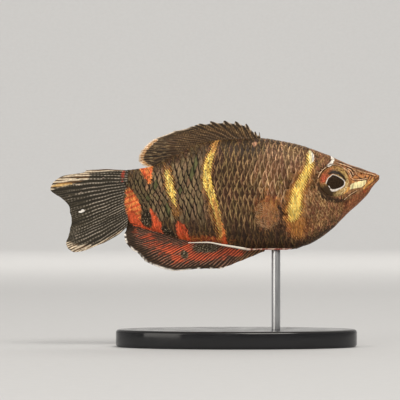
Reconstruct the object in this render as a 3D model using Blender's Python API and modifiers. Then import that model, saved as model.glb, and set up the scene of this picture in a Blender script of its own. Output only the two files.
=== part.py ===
"""A chocolate gourami (Sphaerichthys), a still, life-size model on a plain display stand.

Every outline of the fish is given in millimetres as (behind, above): how far a point lies behind the
tip of the snout and how far above it. The snout points to +X, the back to +Z, the right side to -Y.
Thicknesses of the fins are half thicknesses, measured from their middle plane.
"""

import math

import bmesh
import bpy
import numpy as np
from mathutils import Matrix, Vector

MM = 0.001

# The whole fish and where it is held.
TOTAL_LENGTH = 60.2
SNOUT_X = TOTAL_LENGTH / 2
FIN_CLEARANCE = 14.0
GAP = 0.3

# The body without its fins: back, belly and half width, from the snout to the root of the tail fin.
# SNOUT_TIP is how far the tip of the blunt snout lies above the level that heights are measured from.
BODY_LENGTH = 46.5
SNOUT_TIP = 0.3
BACK_LINE = ((0, SNOUT_TIP), (0.6, 0.98), (1.4, 1.26), (5.7, 2.82), (8.6, 4.15), (11.6, 5.28), (14.5, 6.24),
             (17.4, 6.88), (21.8, 7.5), (26.5, 7.38), (32.7, 6.6), (37.8, 4.1), (42.2, 2.2), (46.5, 1.62))
BELLY_LINE = ((0, SNOUT_TIP), (0.6, -0.62), (1.2, -1.45), (2.3, -2.98), (3.9, -4.6), (5.6, -6.22),
              (7.7, -8.38), (10.0, -10.3), (13.0, -12.05), (16.2, -12.87), (19.0, -12.92), (22.5, -12.9),
              (30.4, -11.95), (36.4, -11.05), (40.5, -9.75), (46.5, -8.3))
HALF_WIDTH = ((0, 0), (0.6, 0.8), (1.4, 1.2), (3.5, 1.95), (6.0, 2.6), (9.0, 3.15), (12.0, 3.6),
              (17.0, 4.0), (21.0, 4.0), (26.0, 3.7), (32.0, 3.0), (38.0, 2.1), (42.0, 1.5), (46.5, 0.95))
WIDEST_AT = 0.53
BACK_ROUNDNESS = 1.0
BELLY_ROUNDNESS = 0.9
BODY_RINGS = 46
BODY_SIDES = 36
LEAST_REACH = 0.05

# Where the body is parted: behind the gill covers and in front of the tail stalk. CUT_REACH is how far
# a cutter reaches to each side, past the widest part of the body.
CUT_REACH = 9
GILL_OPENING = ((11.4, 9.5), (12.9, 5.6), (14.4, 3.2), (15.9, 0.3), (16.9, -3.3), (16.9, -6.2),
                (15.8, -9.5), (13.9, -12.2), (12.6, -14.5))
TAIL_STALK_FRONT = 38.6

# The mouth slants down and back from the tip of the snout; the lower jaw is parted behind its corner.
MOUTH_CORNER = (2.5, -1.6)
JAW_HINGE = (3.6, -3.4)
LIP_RADIUS = 0.27
LIP_INSET = 0.88
LIP_POINTS = 15

# Each gill cover is a plate let into the side of the head.
GILL_COVER = ((19.5, -4.0), (18.5, -10.2), (14.4, -10.9), (12.2, -9.4), (11.4, -6.2), (11.6, -2.0),
              (12.8, 1.2), (14.9, 2.4), (18.0, 2.6))
GILL_COVER_DEPTH = 1.0
COVER_INNER = 0.4

# The eye is a flattened ball, set where the head is wide enough for it.
EYE_CENTRE = (8.4, -0.45)
EYE_RADIUS = 2.65
EYE_DEPTH = 1.25
EYE_BULGE = 0.42
NOSTRILS = ((4.9, 1.55, 0.26), (3.4, 0.95, 0.2))
NOSTRIL_DEPTH = 0.8

# Fins are thin plates whose rays stand up as ridges on both faces. FIN_SEAT is how far a fin that grows
# along the back or belly starts from it: the gap, and a little for the flats between the body's rings.
MEMBRANE = 0.25
RAY = 0.42
MARGIN = 0.2
COLUMNS_PER_RAY = 4
FIN_ROWS = 7
ROOT_SHARE = 0.25
FIN_SEAT = GAP + 0.04

# The dorsal fin. A lean over 1 crowds the rays' tips towards the rear of the margin.
DORSAL_BASE = (21.5, 37.6)
DORSAL_MARGIN = ((21.8, 8.3), (22.7, 8.9), (24.2, 10.0), (26.0, 10.55), (27.8, 10.7), (30.2, 10.6),
                 (32.6, 10.3), (34.6, 9.5), (39.3, 8.0), (41.5, 7.1), (42.9, 5.7), (43.9, 3.9),
                 (43.6, 3.1), (42.9, 2.68), (42.2, 2.58))
DORSAL_SPINES = 9
DORSAL_SOFT_RAYS = 9
DORSAL_LEAN = 1.15
DORSAL_NOTCH = 0.22

# The anal fin.
ANAL_BASE = (21.8, 46.2)
ANAL_MARGIN = ((22.5, -13.5), (24.0, -14.2), (27.6, -15.5), (28.9, -16.1), (33.0, -16.3), (37.1, -16.6),
               (39.3, -16.4), (41.5, -15.7), (43.7, -14.0), (46.2, -11.8), (46.6, -10.6), (46.5, -9.9),
               (46.2, -9.3))
ANAL_SPINES = 7
ANAL_SOFT_RAYS = 15
ANAL_LEAN = 1.9
ANAL_NOTCH = 0.05

# The tail fin: its outermost rays bow away from the middle.
TAIL_BASE = ((46.8, 1.6), (46.8, -8.3))
TAIL_MARGIN = ((57.6, 0.65), (59.8, -0.75), (60.2, -1.75), (58.3, -3.4), (56.7, -5.3), (56.25, -7.8),
               (56.6, -10.1), (57.2, -11.9), (56.8, -12.9), (55.7, -13.4))
TAIL_RAYS = 14
TAIL_BOWS = (0.4, -1.05)
TAIL_ROOT = 0.8
TAIL_ROWS = 9

# The pectoral fins, small fans behind the gill covers, and the pelvic fins, folded back under the belly.
PECTORAL_BASE = ((18.3, -5.9), (18.4, -8.2))
PECTORAL_MARGIN = ((20.4, -4.1), (22.3, -4.5), (23.0, -6.3), (22.5, -8.3), (20.8, -9.3))
PECTORAL_RAYS = 9
PECTORAL_SPLAY = 1.5
PECTORAL_ROWS = 6
PELVIC_THREAD = ((14.7, -11.8), (18.2, -12.4), (21.4, -12.6), (24.2, -12.5), (27.3, -12.1), (30.4, -11.7),
                 (34.9, -11.6))
PELVIC_RADII = ((0, 0.28), (0.06, 0.42), (0.18, 0.46), (0.42, 0.33), (0.7, 0.28), (1, 0.25))
PELVIC_POINTS = 34

# The stand: an oval plate and one rod up to the breast.
BASE_LENGTH = 44.0
BASE_WIDTH = 24.0
BASE_HEIGHT = 3.2
BASE_X = 4.0
BASE_EDGE = 0.6
ROD_RADIUS = 0.8
ROD_BEHIND = 18.9


def smooth_line(knots):
    """A curve through (x, y) knots that never overshoots: cubic pieces with limited slopes at the knots."""
    x, y = np.array(knots, float).T
    step = np.diff(x)
    rise = np.diff(y) / step
    slope = np.zeros(len(x))
    same_way = rise[:-1] * rise[1:] > 0
    before, after = 2 * step[1:] + step[:-1], step[1:] + 2 * step[:-1]
    with np.errstate(divide="ignore", invalid="ignore"):
        mean = (before + after) / (before / rise[:-1] + after / rise[1:])
    slope[1:-1] = np.where(same_way, mean, 0)
    slope[0], slope[-1] = rise[0], rise[-1]

    def value(at):
        at = np.clip(np.asarray(at, float), x[0], x[-1])
        i = np.clip(np.searchsorted(x, at) - 1, 0, len(step) - 1)
        t = (at - x[i]) / step[i]
        return (
            y[i] * (2 * t**3 - 3 * t**2 + 1)
            + step[i] * slope[i] * (t**3 - 2 * t**2 + t)
            + y[i + 1] * (3 * t**2 - 2 * t**3)
            + step[i] * slope[i + 1] * (t**3 - t**2)
        )

    return value


def rounded_nose(knots):
    """The same curve taken over the root of the distance, so that it leaves the snout upright and round."""
    curve = smooth_line([(math.sqrt(behind), size) for behind, size in knots])
    return lambda behind: curve(np.sqrt(np.maximum(behind, 0)))


back_line = rounded_nose(BACK_LINE)
belly_line = rounded_nose(BELLY_LINE)
half_width = rounded_nose(HALF_WIDTH)


def widest_height(behind):
    """The height at which the body is widest."""
    low = belly_line(behind)
    return low + WIDEST_AT * (back_line(behind) - low)


def side_of_body(behind, above):
    """How far the body's side lies from the middle plane at a point seen from the side, 0 outside."""
    middle = widest_height(behind)
    up = np.asarray(above) >= middle
    reach = np.where(up, back_line(behind) - middle, middle - belly_line(behind))
    share = np.clip(np.abs(above - middle) / np.maximum(reach, 1e-9), 0, 1)
    roundness = np.where(up, BACK_ROUNDNESS, BELLY_ROUNDNESS)
    return half_width(behind) * np.sqrt(1 - share**2) ** roundness


SNOUT_Z = FIN_CLEARANCE - min(above for _, above in ANAL_MARGIN)


def placed(behind, above, across=0.0):
    """Points of the fish in metres, from millimetres behind and above the snout and across the body."""
    behind, above, across = np.broadcast_arrays(behind, above, across)
    return np.stack([SNOUT_X - behind, across, SNOUT_Z + above], -1) * MM


def clear_scene():
    """Removes what the startup scene holds."""
    for obj in list(bpy.data.objects):
        bpy.data.objects.remove(obj)


def collection(name):
    made = bpy.data.collections.new(name)
    bpy.context.scene.collection.children.link(made)
    return made


def material(name, colour, roughness, metallic=0.0):
    made = bpy.data.materials.new(name)
    made.use_nodes = True
    shader = made.node_tree.nodes["Principled BSDF"]
    shader.inputs["Base Color"].default_value = (*colour, 1)
    shader.inputs["Roughness"].default_value = roughness
    shader.inputs["Metallic"].default_value = metallic
    return made


def give(obj, finish):
    """Makes a finish the only material of an object."""
    obj.data.materials.clear()
    obj.data.materials.append(finish)


def new_object(name, mesh, group, finish=None):
    made = bpy.data.objects.new(name, mesh)
    group.objects.link(made)
    if finish:
        give(made, finish)
    return made


def mesh_from(name, points, faces):
    mesh = bpy.data.meshes.new(name)
    mesh.from_pydata([tuple(point) for point in points], [], [tuple(map(int, face)) for face in faces])
    mesh.update()
    return mesh


def evaluated_mesh(obj):
    bpy.context.view_layer.update()
    graph = bpy.context.evaluated_depsgraph_get()
    return bpy.data.meshes.new_from_object(obj.evaluated_get(graph))


def combine(obj, other, operation):
    """Cuts from obj, or joins to it, a closed mesh object, and removes that other object."""
    modifier = obj.modifiers.new(operation.lower(), "BOOLEAN")
    modifier.operation = operation
    modifier.solver = "EXACT"
    modifier.object = other
    mesh = evaluated_mesh(obj)
    obj.modifiers.clear()
    obj.data = mesh
    bpy.data.objects.remove(other)


def bodies_of(obj):
    """The separate closed bodies of a mesh, as meshes, the one nearest the snout first."""
    whole = bmesh.new()
    whole.from_mesh(obj.data)
    body_of = {}
    for start in whole.verts:
        waiting = [] if start.index in body_of else [start]
        while waiting:
            vert = waiting.pop()
            body_of[vert.index] = start.index
            ends = [edge.other_vert(vert) for edge in vert.link_edges]
            waiting += [end for end in ends if end.index not in body_of]
    meshes = []
    for body in sorted(set(body_of.values())):
        piece = whole.copy()
        others = [vert for vert in piece.verts if body_of[vert.index] != body]
        bmesh.ops.delete(piece, geom=others, context="VERTS")
        mesh = bpy.data.meshes.new(obj.name)
        piece.to_mesh(mesh)
        piece.free()
        meshes.append(mesh)
    whole.free()
    return sorted(meshes, key=lambda mesh: -max(vert.co.x for vert in mesh.vertices))


def volume(mesh):
    shape = bmesh.new()
    shape.from_mesh(mesh)
    size = shape.calc_volume()
    shape.free()
    return size


def keep_largest(obj):
    """Drops any loose scrap that a cut or a join leaves."""
    obj.data = max(bodies_of(obj), key=volume)


def loft_body(name, group, inset=0.0):
    """The whole body as one closed loft: rings across it from the snout to the root of the tail fin."""
    share = np.arange(1, BODY_RINGS + 1) / BODY_RINGS
    behind = BODY_LENGTH * share**1.5
    turn = 2 * np.pi * np.arange(BODY_SIDES) / BODY_SIDES
    middle = widest_height(behind)[:, None]
    high = np.maximum(back_line(behind)[:, None] - middle - inset, LEAST_REACH)
    low = np.maximum(middle - belly_line(behind)[:, None] - inset, LEAST_REACH)
    width = np.maximum(half_width(behind)[:, None] - inset, LEAST_REACH)
    rise = np.cos(turn)[None]
    above = middle + np.where(rise > 0, high, low) * rise
    roundness = np.where(rise > 0, BACK_ROUNDNESS, BELLY_ROUNDNESS)
    across = -width * np.sign(np.sin(turn)) * np.abs(np.sin(turn)) ** roundness
    rings = placed(behind[:, None], above, across).reshape(-1, 3)
    points = np.vstack([placed(0.0, SNOUT_TIP)[None], rings])
    faces = []
    for side in range(BODY_SIDES):
        after = (side + 1) % BODY_SIDES
        faces.append((0, 1 + side, 1 + after))
        for ring in range(BODY_RINGS - 1):
            here, there = 1 + ring * BODY_SIDES, 1 + (ring + 1) * BODY_SIDES
            faces.append((here + side, there + side, there + after, here + after))
    last = 1 + (BODY_RINGS - 1) * BODY_SIDES
    faces.append([last + side for side in range(BODY_SIDES - 1, -1, -1)])
    made = new_object(name, mesh_from(name, points, faces), group)
    face_outwards(made)
    return made


def face_outwards(obj):
    """Turns every face of a closed mesh to point out of it."""
    shape = bmesh.new()
    shape.from_mesh(obj.data)
    bmesh.ops.recalc_face_normals(shape, faces=shape.faces)
    if shape.calc_volume(signed=True) < 0:
        bmesh.ops.reverse_faces(shape, faces=shape.faces)
    shape.to_mesh(obj.data)
    shape.free()


def along(points, count):
    """Evenly spaced points on a smooth curve through (behind, above) points."""
    points = np.array(points, float)
    marks = np.concatenate([[0], np.cumsum(np.linalg.norm(np.diff(points, axis=0), axis=1))])
    fine = np.linspace(0, marks[-1], 400)
    curve = np.stack([smooth_line(list(zip(marks, points[:, k])))(fine) for k in (0, 1)], -1)
    lengths = np.concatenate([[0], np.cumsum(np.linalg.norm(np.diff(curve, axis=0), axis=1))])
    even = np.linspace(0, lengths[-1], count)
    return np.stack([np.interp(even, lengths, curve[:, k]) for k in (0, 1)], -1)


def plate(name, outline, low, high, group):
    """A closed plate whose outline is seen from the side, reaching across the body from low to high."""
    line = bpy.data.curves.new(name, "CURVE")
    line.dimensions = "2D"
    line.fill_mode = "BOTH"
    line.extrude = (high - low) / 2 * MM
    spline = line.splines.new("POLY")
    spline.points.add(len(outline) - 1)
    for point, (behind, above) in zip(spline.points, outline):
        point.co = ((SNOUT_X - behind) * MM, (SNOUT_Z + above) * MM, 0, 1)
    spline.use_cyclic_u = True
    drawn = bpy.data.objects.new(name, line)
    drawn.rotation_euler = (math.pi / 2, 0, 0)
    drawn.location = (0, (low + high) / 2 * MM, 0)
    group.objects.link(drawn)
    mesh = evaluated_mesh(drawn)
    mesh.transform(drawn.matrix_world)
    bpy.data.objects.remove(drawn)
    shape = bmesh.new()
    shape.from_mesh(mesh)
    bmesh.ops.remove_doubles(shape, verts=shape.verts, dist=1e-7)
    shape.to_mesh(mesh)
    shape.free()
    made = new_object(name, mesh, group)
    face_outwards(made)
    made.hide_render = True
    made.display_type = "WIRE"
    return made


def offset_line(points, distance, closed=False):
    """A line moved sideways by a distance, corner by corner."""
    points = np.array(points, float)
    if closed:
        way = np.roll(points, -1, 0) - np.roll(points, 1, 0)
    else:
        way = np.gradient(points, axis=0)
    way /= np.linalg.norm(way, axis=1)[:, None]
    return points + distance * np.stack([-way[:, 1], way[:, 0]], -1)


def cut_band(name, points, group):
    """A thin band as thick as a gap, following a line seen from the side and reaching right across."""
    band = np.vstack([offset_line(points, GAP / 2), offset_line(points, -GAP / 2)[::-1]])
    return plate(name, band, -CUT_REACH, CUT_REACH, group)


def ball(name, centre, radii, group, segments=26):
    """A squashed ball with its poles across the body."""
    shape = bmesh.new()
    bmesh.ops.create_uvsphere(shape, u_segments=segments, v_segments=segments // 2, radius=1)
    bmesh.ops.rotate(shape, verts=shape.verts, matrix=Matrix.Rotation(math.pi / 2, 3, "X"))
    bmesh.ops.scale(shape, verts=shape.verts, vec=Vector(radii) * MM)
    bmesh.ops.translate(shape, verts=shape.verts, vec=Vector(centre))
    mesh = bpy.data.meshes.new(name)
    shape.to_mesh(mesh)
    shape.free()
    return new_object(name, mesh, group)


def rod(name, start, end, radius, group, sides=24):
    """A round rod between two points in metres."""
    start, end = Vector(start), Vector(end)
    shape = bmesh.new()
    bmesh.ops.create_cone(shape, cap_ends=True, segments=sides, radius1=radius * MM, radius2=radius * MM,
                          depth=(end - start).length)
    turn = Vector((0, 0, 1)).rotation_difference(end - start).to_matrix()
    bmesh.ops.rotate(shape, verts=shape.verts, matrix=turn)
    bmesh.ops.translate(shape, verts=shape.verts, vec=(start + end) / 2)
    mesh = bpy.data.meshes.new(name)
    shape.to_mesh(mesh)
    shape.free()
    return new_object(name, mesh, group)


def tube(name, points, radii, group, resolution=2):
    """A closed tube through points in metres, with a radius in millimetres at each."""
    line = bpy.data.curves.new(name, "CURVE")
    line.dimensions = "3D"
    line.bevel_depth = MM
    line.bevel_resolution = resolution
    line.use_fill_caps = True
    spline = line.splines.new("POLY")
    spline.points.add(len(points) - 1)
    for point, place, radius in zip(spline.points, points, radii):
        point.co = (*place, 1)
        point.radius = radius
    drawn = bpy.data.objects.new(name, line)
    group.objects.link(drawn)
    mesh = evaluated_mesh(drawn)
    bpy.data.objects.remove(drawn)
    shape = bmesh.new()
    shape.from_mesh(mesh)
    bmesh.ops.remove_doubles(shape, verts=shape.verts, dist=1e-7)
    shape.to_mesh(mesh)
    shape.free()
    made = new_object(name, mesh, group)
    face_outwards(made)
    return made


def ray_ridges(share, rays):
    """1 on the line of each ray and 0 half way between two rays."""
    return (0.5 + 0.5 * np.cos(2 * np.pi * share * (rays - 1))) ** 2


def fin_thickness(ridge, out, root_half):
    """Half thickness by ridge and share of the way out: thickest at the root, thinnest at the margin."""
    taper = 1 - out**2
    thick = MARGIN + (MEMBRANE - MARGIN) * taper[None] + (RAY - MEMBRANE) * ridge[:, None] * taper[None]
    near_root = np.clip(1 - out / ROOT_SHARE, 0, 1) ** 2
    return thick + (root_half - thick) * near_root[None]


def plate_faces(columns, rows):
    """Triangles of a closed plate of two grids of points, split the same way on both faces."""
    index = np.arange(columns * rows).reshape(columns, rows)
    a, b, c, d = index[:-1, :-1], index[1:, :-1], index[1:, 1:], index[:-1, 1:]
    near = np.stack([a, b, c, a, c, d], -1).reshape(-1, 3)
    far = near[:, ::-1] + columns * rows
    rim = np.concatenate([index[:, 0], index[-1, 1:], index[-2::-1, -1], index[0, -2:0:-1]])
    after = np.roll(rim, -1)
    edge = np.stack([rim, rim + index.size, after + index.size, rim, after + index.size, after], -1)
    return np.vstack([near, far, edge.reshape(-1, 3)])


def fin_plate(name, root, tip, rays, group, finish, rows=FIN_ROWS, bow=None, root_half=RAY, across=None,
              notch=None):
    """A fin as one closed plate. Rays run from root points to tip points and stand up as ridges.

    root and tip give the (behind, above) points of any share of the fin from its first ray to its last.
    bow bends the rays sideways, across carries the plate away from the middle plane, and notch draws the
    membrane's margin in between the rays, so that the tips of spines stand free.
    """
    share = np.linspace(0, 1, (rays - 1) * COLUMNS_PER_RAY + 1)
    out = np.linspace(0, 1, rows)
    ridge = ray_ridges(share, rays)
    start, end = root(share), tip(share)
    if notch is not None:
        end = end + (start - end) * (notch(share) * (1 - ridge))[:, None]
    flat = start[:, None] + (end - start)[:, None] * out[None, :, None]
    if bow is not None:
        way = end - start
        side = np.stack([-way[:, 1], way[:, 0]], -1) / np.linalg.norm(way, axis=1)[:, None]
        flat = flat + (bow(share)[:, None] * 4 * out * (1 - out))[..., None] * side[:, None]
    behind, above = flat[..., 0], flat[..., 1]
    thick = fin_thickness(ridge, out, root_half)
    middle = 0 * thick if across is None else across(behind, above, out[None])
    points = [placed(behind, above, middle + side * thick).reshape(-1, 3) for side in (-1, 1)]
    mesh = mesh_from(name, np.vstack(points), plate_faces(len(share), rows))
    made = new_object(name, mesh, group, finish)
    face_outwards(made)
    return made


def margin_curve(points, lean=1.0):
    """Tip points by share of the fin, from its margin; a lean over 1 crowds them towards the last ray."""
    curve = along(points, 240)
    marks = np.linspace(0, 1, len(curve))

    def tip(share):
        at = 1 - (1 - share) ** lean
        return np.stack([np.interp(at, marks, curve[:, k]) for k in (0, 1)], -1)

    return tip


def straight(ends):
    """Root points on a straight line between two ends."""
    (a, b), (c, d) = ends
    return lambda share: np.stack([a + (c - a) * share, b + (d - b) * share], -1)


def along_back(ends):
    """Root points that follow the back between two distances behind the snout."""
    def root(share):
        behind = ends[0] + (ends[1] - ends[0]) * share
        return np.stack([behind, back_line(behind) + FIN_SEAT], -1)

    return root


def along_belly(ends):
    """Root points that follow the belly between two distances behind the snout."""
    def root(share):
        behind = ends[0] + (ends[1] - ends[0]) * share
        return np.stack([behind, belly_line(behind) - FIN_SEAT], -1)

    return root


def build_body(fish, helpers, skin):
    """The head, gill covers, lower jaw, torso and tail stalk, parted from one loft by thin cuts."""
    whole = loft_body("body", helpers)
    combine(whole, cut_band("gill_cut", along(GILL_OPENING, 24), helpers), "DIFFERENCE")
    stalk_cut = ((TAIL_STALK_FRONT, 9), (TAIL_STALK_FRONT, -15))
    combine(whole, cut_band("stalk_cut", stalk_cut, helpers), "DIFFERENCE")
    head_mesh, torso_mesh, stalk_mesh = bodies_of(whole)[:3]
    bpy.data.objects.remove(whole)
    new_object("torso", torso_mesh, fish, skin)
    new_object("tail_stalk", stalk_mesh, fish, skin)
    head = new_object("head", head_mesh, fish, skin)
    build_gill_covers(head, fish, helpers, skin)
    build_jaw(head, fish, helpers, skin)
    build_sockets(head, helpers)
    keep_largest(head)
    give(head, skin)


def build_gill_covers(head, fish, helpers, skin):
    """A plate on each side of the head, with a gap all round it and under it."""
    outline = along([*GILL_COVER, GILL_COVER[0]], 32)[:-1]
    inner_outline = offset_line(outline, -GAP, closed=True)
    for side, low, high in (("right", -CUT_REACH, -COVER_INNER), ("left", COVER_INNER, CUT_REACH)):
        cover = new_object("gill_cover_" + side, head.data.copy(), fish, skin)
        combine(cover, plate("cover_shape", inner_outline, low, high, helpers), "INTERSECT")
        combine(cover, loft_body("cover_back", helpers, GILL_COVER_DEPTH - GAP), "DIFFERENCE")
        keep_largest(cover)
        give(cover, skin)
    for low, high in ((-CUT_REACH, -COVER_INNER), (COVER_INNER, CUT_REACH)):
        recess = plate("recess", outline, low, high, helpers)
        combine(recess, loft_body("recess_floor", helpers, GILL_COVER_DEPTH), "DIFFERENCE")
        combine(head, recess, "DIFFERENCE")
    keep_largest(head)


def mouth_height(behind):
    """Height of the line of the mouth, straight from the tip of the snout to its corner."""
    return SNOUT_TIP + (MOUTH_CORNER[1] - SNOUT_TIP) * behind / MOUTH_CORNER[0]


def lip(name, lift, helpers):
    """A roll of skin along one side of the mouth, from corner to corner round the snout."""
    reach = np.linspace(0, MOUTH_CORNER[0], 200)
    inside = side_of_body(reach, mouth_height(reach) + lift) > 0
    front = reach[inside][0]
    turn = np.linspace(-1, 1, 201)
    behind = front + (MOUTH_CORNER[0] - front) * turn**2
    above = mouth_height(behind) + lift
    across = np.sign(turn) * side_of_body(behind, above) * LIP_INSET
    path = placed(behind, above, across)
    marks = np.concatenate([[0], np.cumsum(np.linalg.norm(np.diff(path, axis=0), axis=1))])
    even = np.linspace(0, marks[-1], LIP_POINTS)
    path = np.stack([np.interp(even, marks, path[:, k]) for k in range(3)], -1)
    radii = LIP_RADIUS * (1 - 0.45 * np.abs(np.linspace(-1, 1, LIP_POINTS)) ** 3)
    return tube(name, path, radii, helpers, resolution=1)


def build_jaw(head, fish, helpers, skin):
    """The lower jaw is cut free along the mouth and behind its corner; each jaw gets its lip."""
    path = ((-2, mouth_height(-2)), (MOUTH_CORNER[0], MOUTH_CORNER[1]), JAW_HINGE, (4.6, -6.5))
    combine(head, cut_band("mouth_cut", path, helpers), "DIFFERENCE")
    pieces = sorted(bodies_of(head), key=volume)
    jaw = new_object("lower_jaw", pieces[-2], fish, skin)
    head.data = pieces[-1]
    combine(jaw, lip("lower_lip", -GAP / 2 - LIP_RADIUS, helpers), "UNION")
    combine(head, lip("upper_lip", GAP / 2 + LIP_RADIUS, helpers), "UNION")
    keep_largest(jaw)
    keep_largest(head)
    give(jaw, skin)


def eye_centre(side):
    """The middle of an eye in metres; side is -1 on the right and 1 on the left."""
    behind, above = EYE_CENTRE
    across = float(side_of_body(behind, above)) + EYE_BULGE - EYE_DEPTH
    return placed(behind, above, side * across)


def build_sockets(head, helpers):
    """The hollows that hold the eyes, and the nostrils in front of them."""
    for side in (-1, 1):
        reach = (EYE_RADIUS + GAP, EYE_DEPTH + GAP, EYE_RADIUS + GAP)
        combine(head, ball("socket", eye_centre(side), reach, helpers), "DIFFERENCE")
        for behind, above, radius in NOSTRILS:
            skin_at = float(side_of_body(behind, above))
            ends = [placed(behind, above, side * (skin_at + shift)) for shift in (-NOSTRIL_DEPTH, 1)]
            combine(head, rod("nostril", *ends, radius, helpers, sides=10), "DIFFERENCE")


def build_eyes(fish, finish):
    """The eyes, set in their sockets with a gap all round."""
    for name, side in (("eye_right", -1), ("eye_left", 1)):
        eye = ball(name, eye_centre(side), (EYE_RADIUS, EYE_DEPTH, EYE_RADIUS), fish)
        give(eye, finish)
        eye.data.shade_smooth()


def spine_notch(spines, rays, depth):
    """How far the margin is drawn in between the rays: deep between spines, none between soft rays."""
    last = (spines - 1) / (rays - 1)
    return lambda share: depth * (share < last + 1e-6)


def build_fins(fish, fin_skin):
    """The dorsal, anal, tail and pectoral fins, and the pelvic fins."""
    dorsal_rays = DORSAL_SPINES + DORSAL_SOFT_RAYS
    dorsal_tips = margin_curve(DORSAL_MARGIN, DORSAL_LEAN)
    dorsal_notch = spine_notch(DORSAL_SPINES, dorsal_rays, DORSAL_NOTCH)
    fin_plate("dorsal_fin", along_back(DORSAL_BASE), dorsal_tips, dorsal_rays, fish, fin_skin,
              notch=dorsal_notch)
    anal_rays = ANAL_SPINES + ANAL_SOFT_RAYS
    anal_tips = margin_curve(ANAL_MARGIN, ANAL_LEAN)
    anal_notch = spine_notch(ANAL_SPINES, anal_rays, ANAL_NOTCH)
    fin_plate("anal_fin", along_belly(ANAL_BASE), anal_tips, anal_rays, fish, fin_skin, notch=anal_notch)

    def tail_bow(share):
        return TAIL_BOWS[0] + (TAIL_BOWS[1] - TAIL_BOWS[0]) * share

    fin_plate("tail_fin", straight(TAIL_BASE), margin_curve(TAIL_MARGIN), TAIL_RAYS, fish, fin_skin,
              rows=TAIL_ROWS, root_half=TAIL_ROOT, bow=tail_bow)
    for name, side in (("pectoral_fin_right", -1), ("pectoral_fin_left", 1)):
        build_pectoral(name, side, fish, fin_skin)
    for name, side in (("pelvic_fin_right", -1), ("pelvic_fin_left", 1)):
        build_pelvic(name, side, fish, fin_skin)


def build_pectoral(name, side, fish, fin_skin):
    """A fan that leaves the body's side behind the gill cover and splays outwards to its edge."""

    def beside(behind, above, out):
        return side * (side_of_body(behind, above) + GAP + RAY + PECTORAL_SPLAY * out**1.7)

    fin_plate(name, straight(PECTORAL_BASE), margin_curve(PECTORAL_MARGIN), PECTORAL_RAYS, fish, fin_skin,
              rows=PECTORAL_ROWS, across=beside)


def build_pelvic(name, side, fish, fin_skin):
    """A pelvic fin folded back: a slim blade that runs out into the long thread of its first ray."""
    line = along(PELVIC_THREAD, PELVIC_POINTS)
    radii = smooth_line(PELVIC_RADII)(np.linspace(0, 1, PELVIC_POINTS))
    beside = side_of_body(line[:, 0], line[:, 1]) + GAP + radii
    across = side * np.maximum(beside, ROD_RADIUS + GAP + radii)
    thread = tube(name, placed(line[:, 0], line[:, 1], across), radii, fish)
    give(thread, fin_skin)


def build_stand(fish, base_finish, rod_finish):
    """An oval plate with a softened rim, and the rod that holds the fish under its breast."""
    shape = bmesh.new()
    bmesh.ops.create_cone(shape, cap_ends=True, segments=48, radius1=0.5, radius2=0.5, depth=1)
    bmesh.ops.scale(shape, verts=shape.verts, vec=Vector((BASE_LENGTH, BASE_WIDTH, BASE_HEIGHT)) * MM)
    bmesh.ops.translate(shape, verts=shape.verts, vec=Vector((BASE_X, 0, BASE_HEIGHT / 2)) * MM)
    mesh = bpy.data.meshes.new("stand_base")
    shape.to_mesh(mesh)
    shape.free()
    base = new_object("stand_base", mesh, fish, base_finish)
    rim = base.modifiers.new("rim", "BEVEL")
    rim.width = BASE_EDGE * MM
    rim.segments = 2
    rim.limit_method = "ANGLE"
    foot = Vector(((SNOUT_X - ROD_BEHIND) * MM, 0, (BASE_HEIGHT + GAP) * MM))
    top = Vector(placed(ROD_BEHIND, float(belly_line(ROD_BEHIND)) - GAP - 0.06))
    holder = rod("stand_rod", foot, top, ROD_RADIUS, fish)
    give(holder, rod_finish)
    holder.data.shade_smooth()
    holder.data.set_sharp_from_angle(angle=math.radians(40))


def main():
    clear_scene()
    fish, helpers = collection("chocolate_gourami"), collection("cutters")
    skin = material("chocolate_skin", (0.11, 0.07, 0.035), 0.4)
    fin_skin = material("fin_membrane", (0.09, 0.05, 0.03), 0.45)
    eye = material("eye", (0.02, 0.015, 0.012), 0.1)
    base_finish = material("black_acrylic", (0.02, 0.02, 0.022), 0.25)
    rod_finish = material("steel", (0.6, 0.6, 0.62), 0.25, 1.0)
    build_body(fish, helpers, skin)
    build_eyes(fish, eye)
    build_fins(fish, fin_skin)
    build_stand(fish, base_finish, rod_finish)


main()
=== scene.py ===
# %% [markdown]
# # A chocolate gourami on its display stand
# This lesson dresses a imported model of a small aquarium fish, life size, as a museum shows it: a skin, the
# scales over it, two eyes, the fins and a plain stand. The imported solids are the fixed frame, and every
# piece made here lies on them. All surfaces are functions of two parameters, worked out with numpy.

import math
from functools import partial
from types import SimpleNamespace

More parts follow.
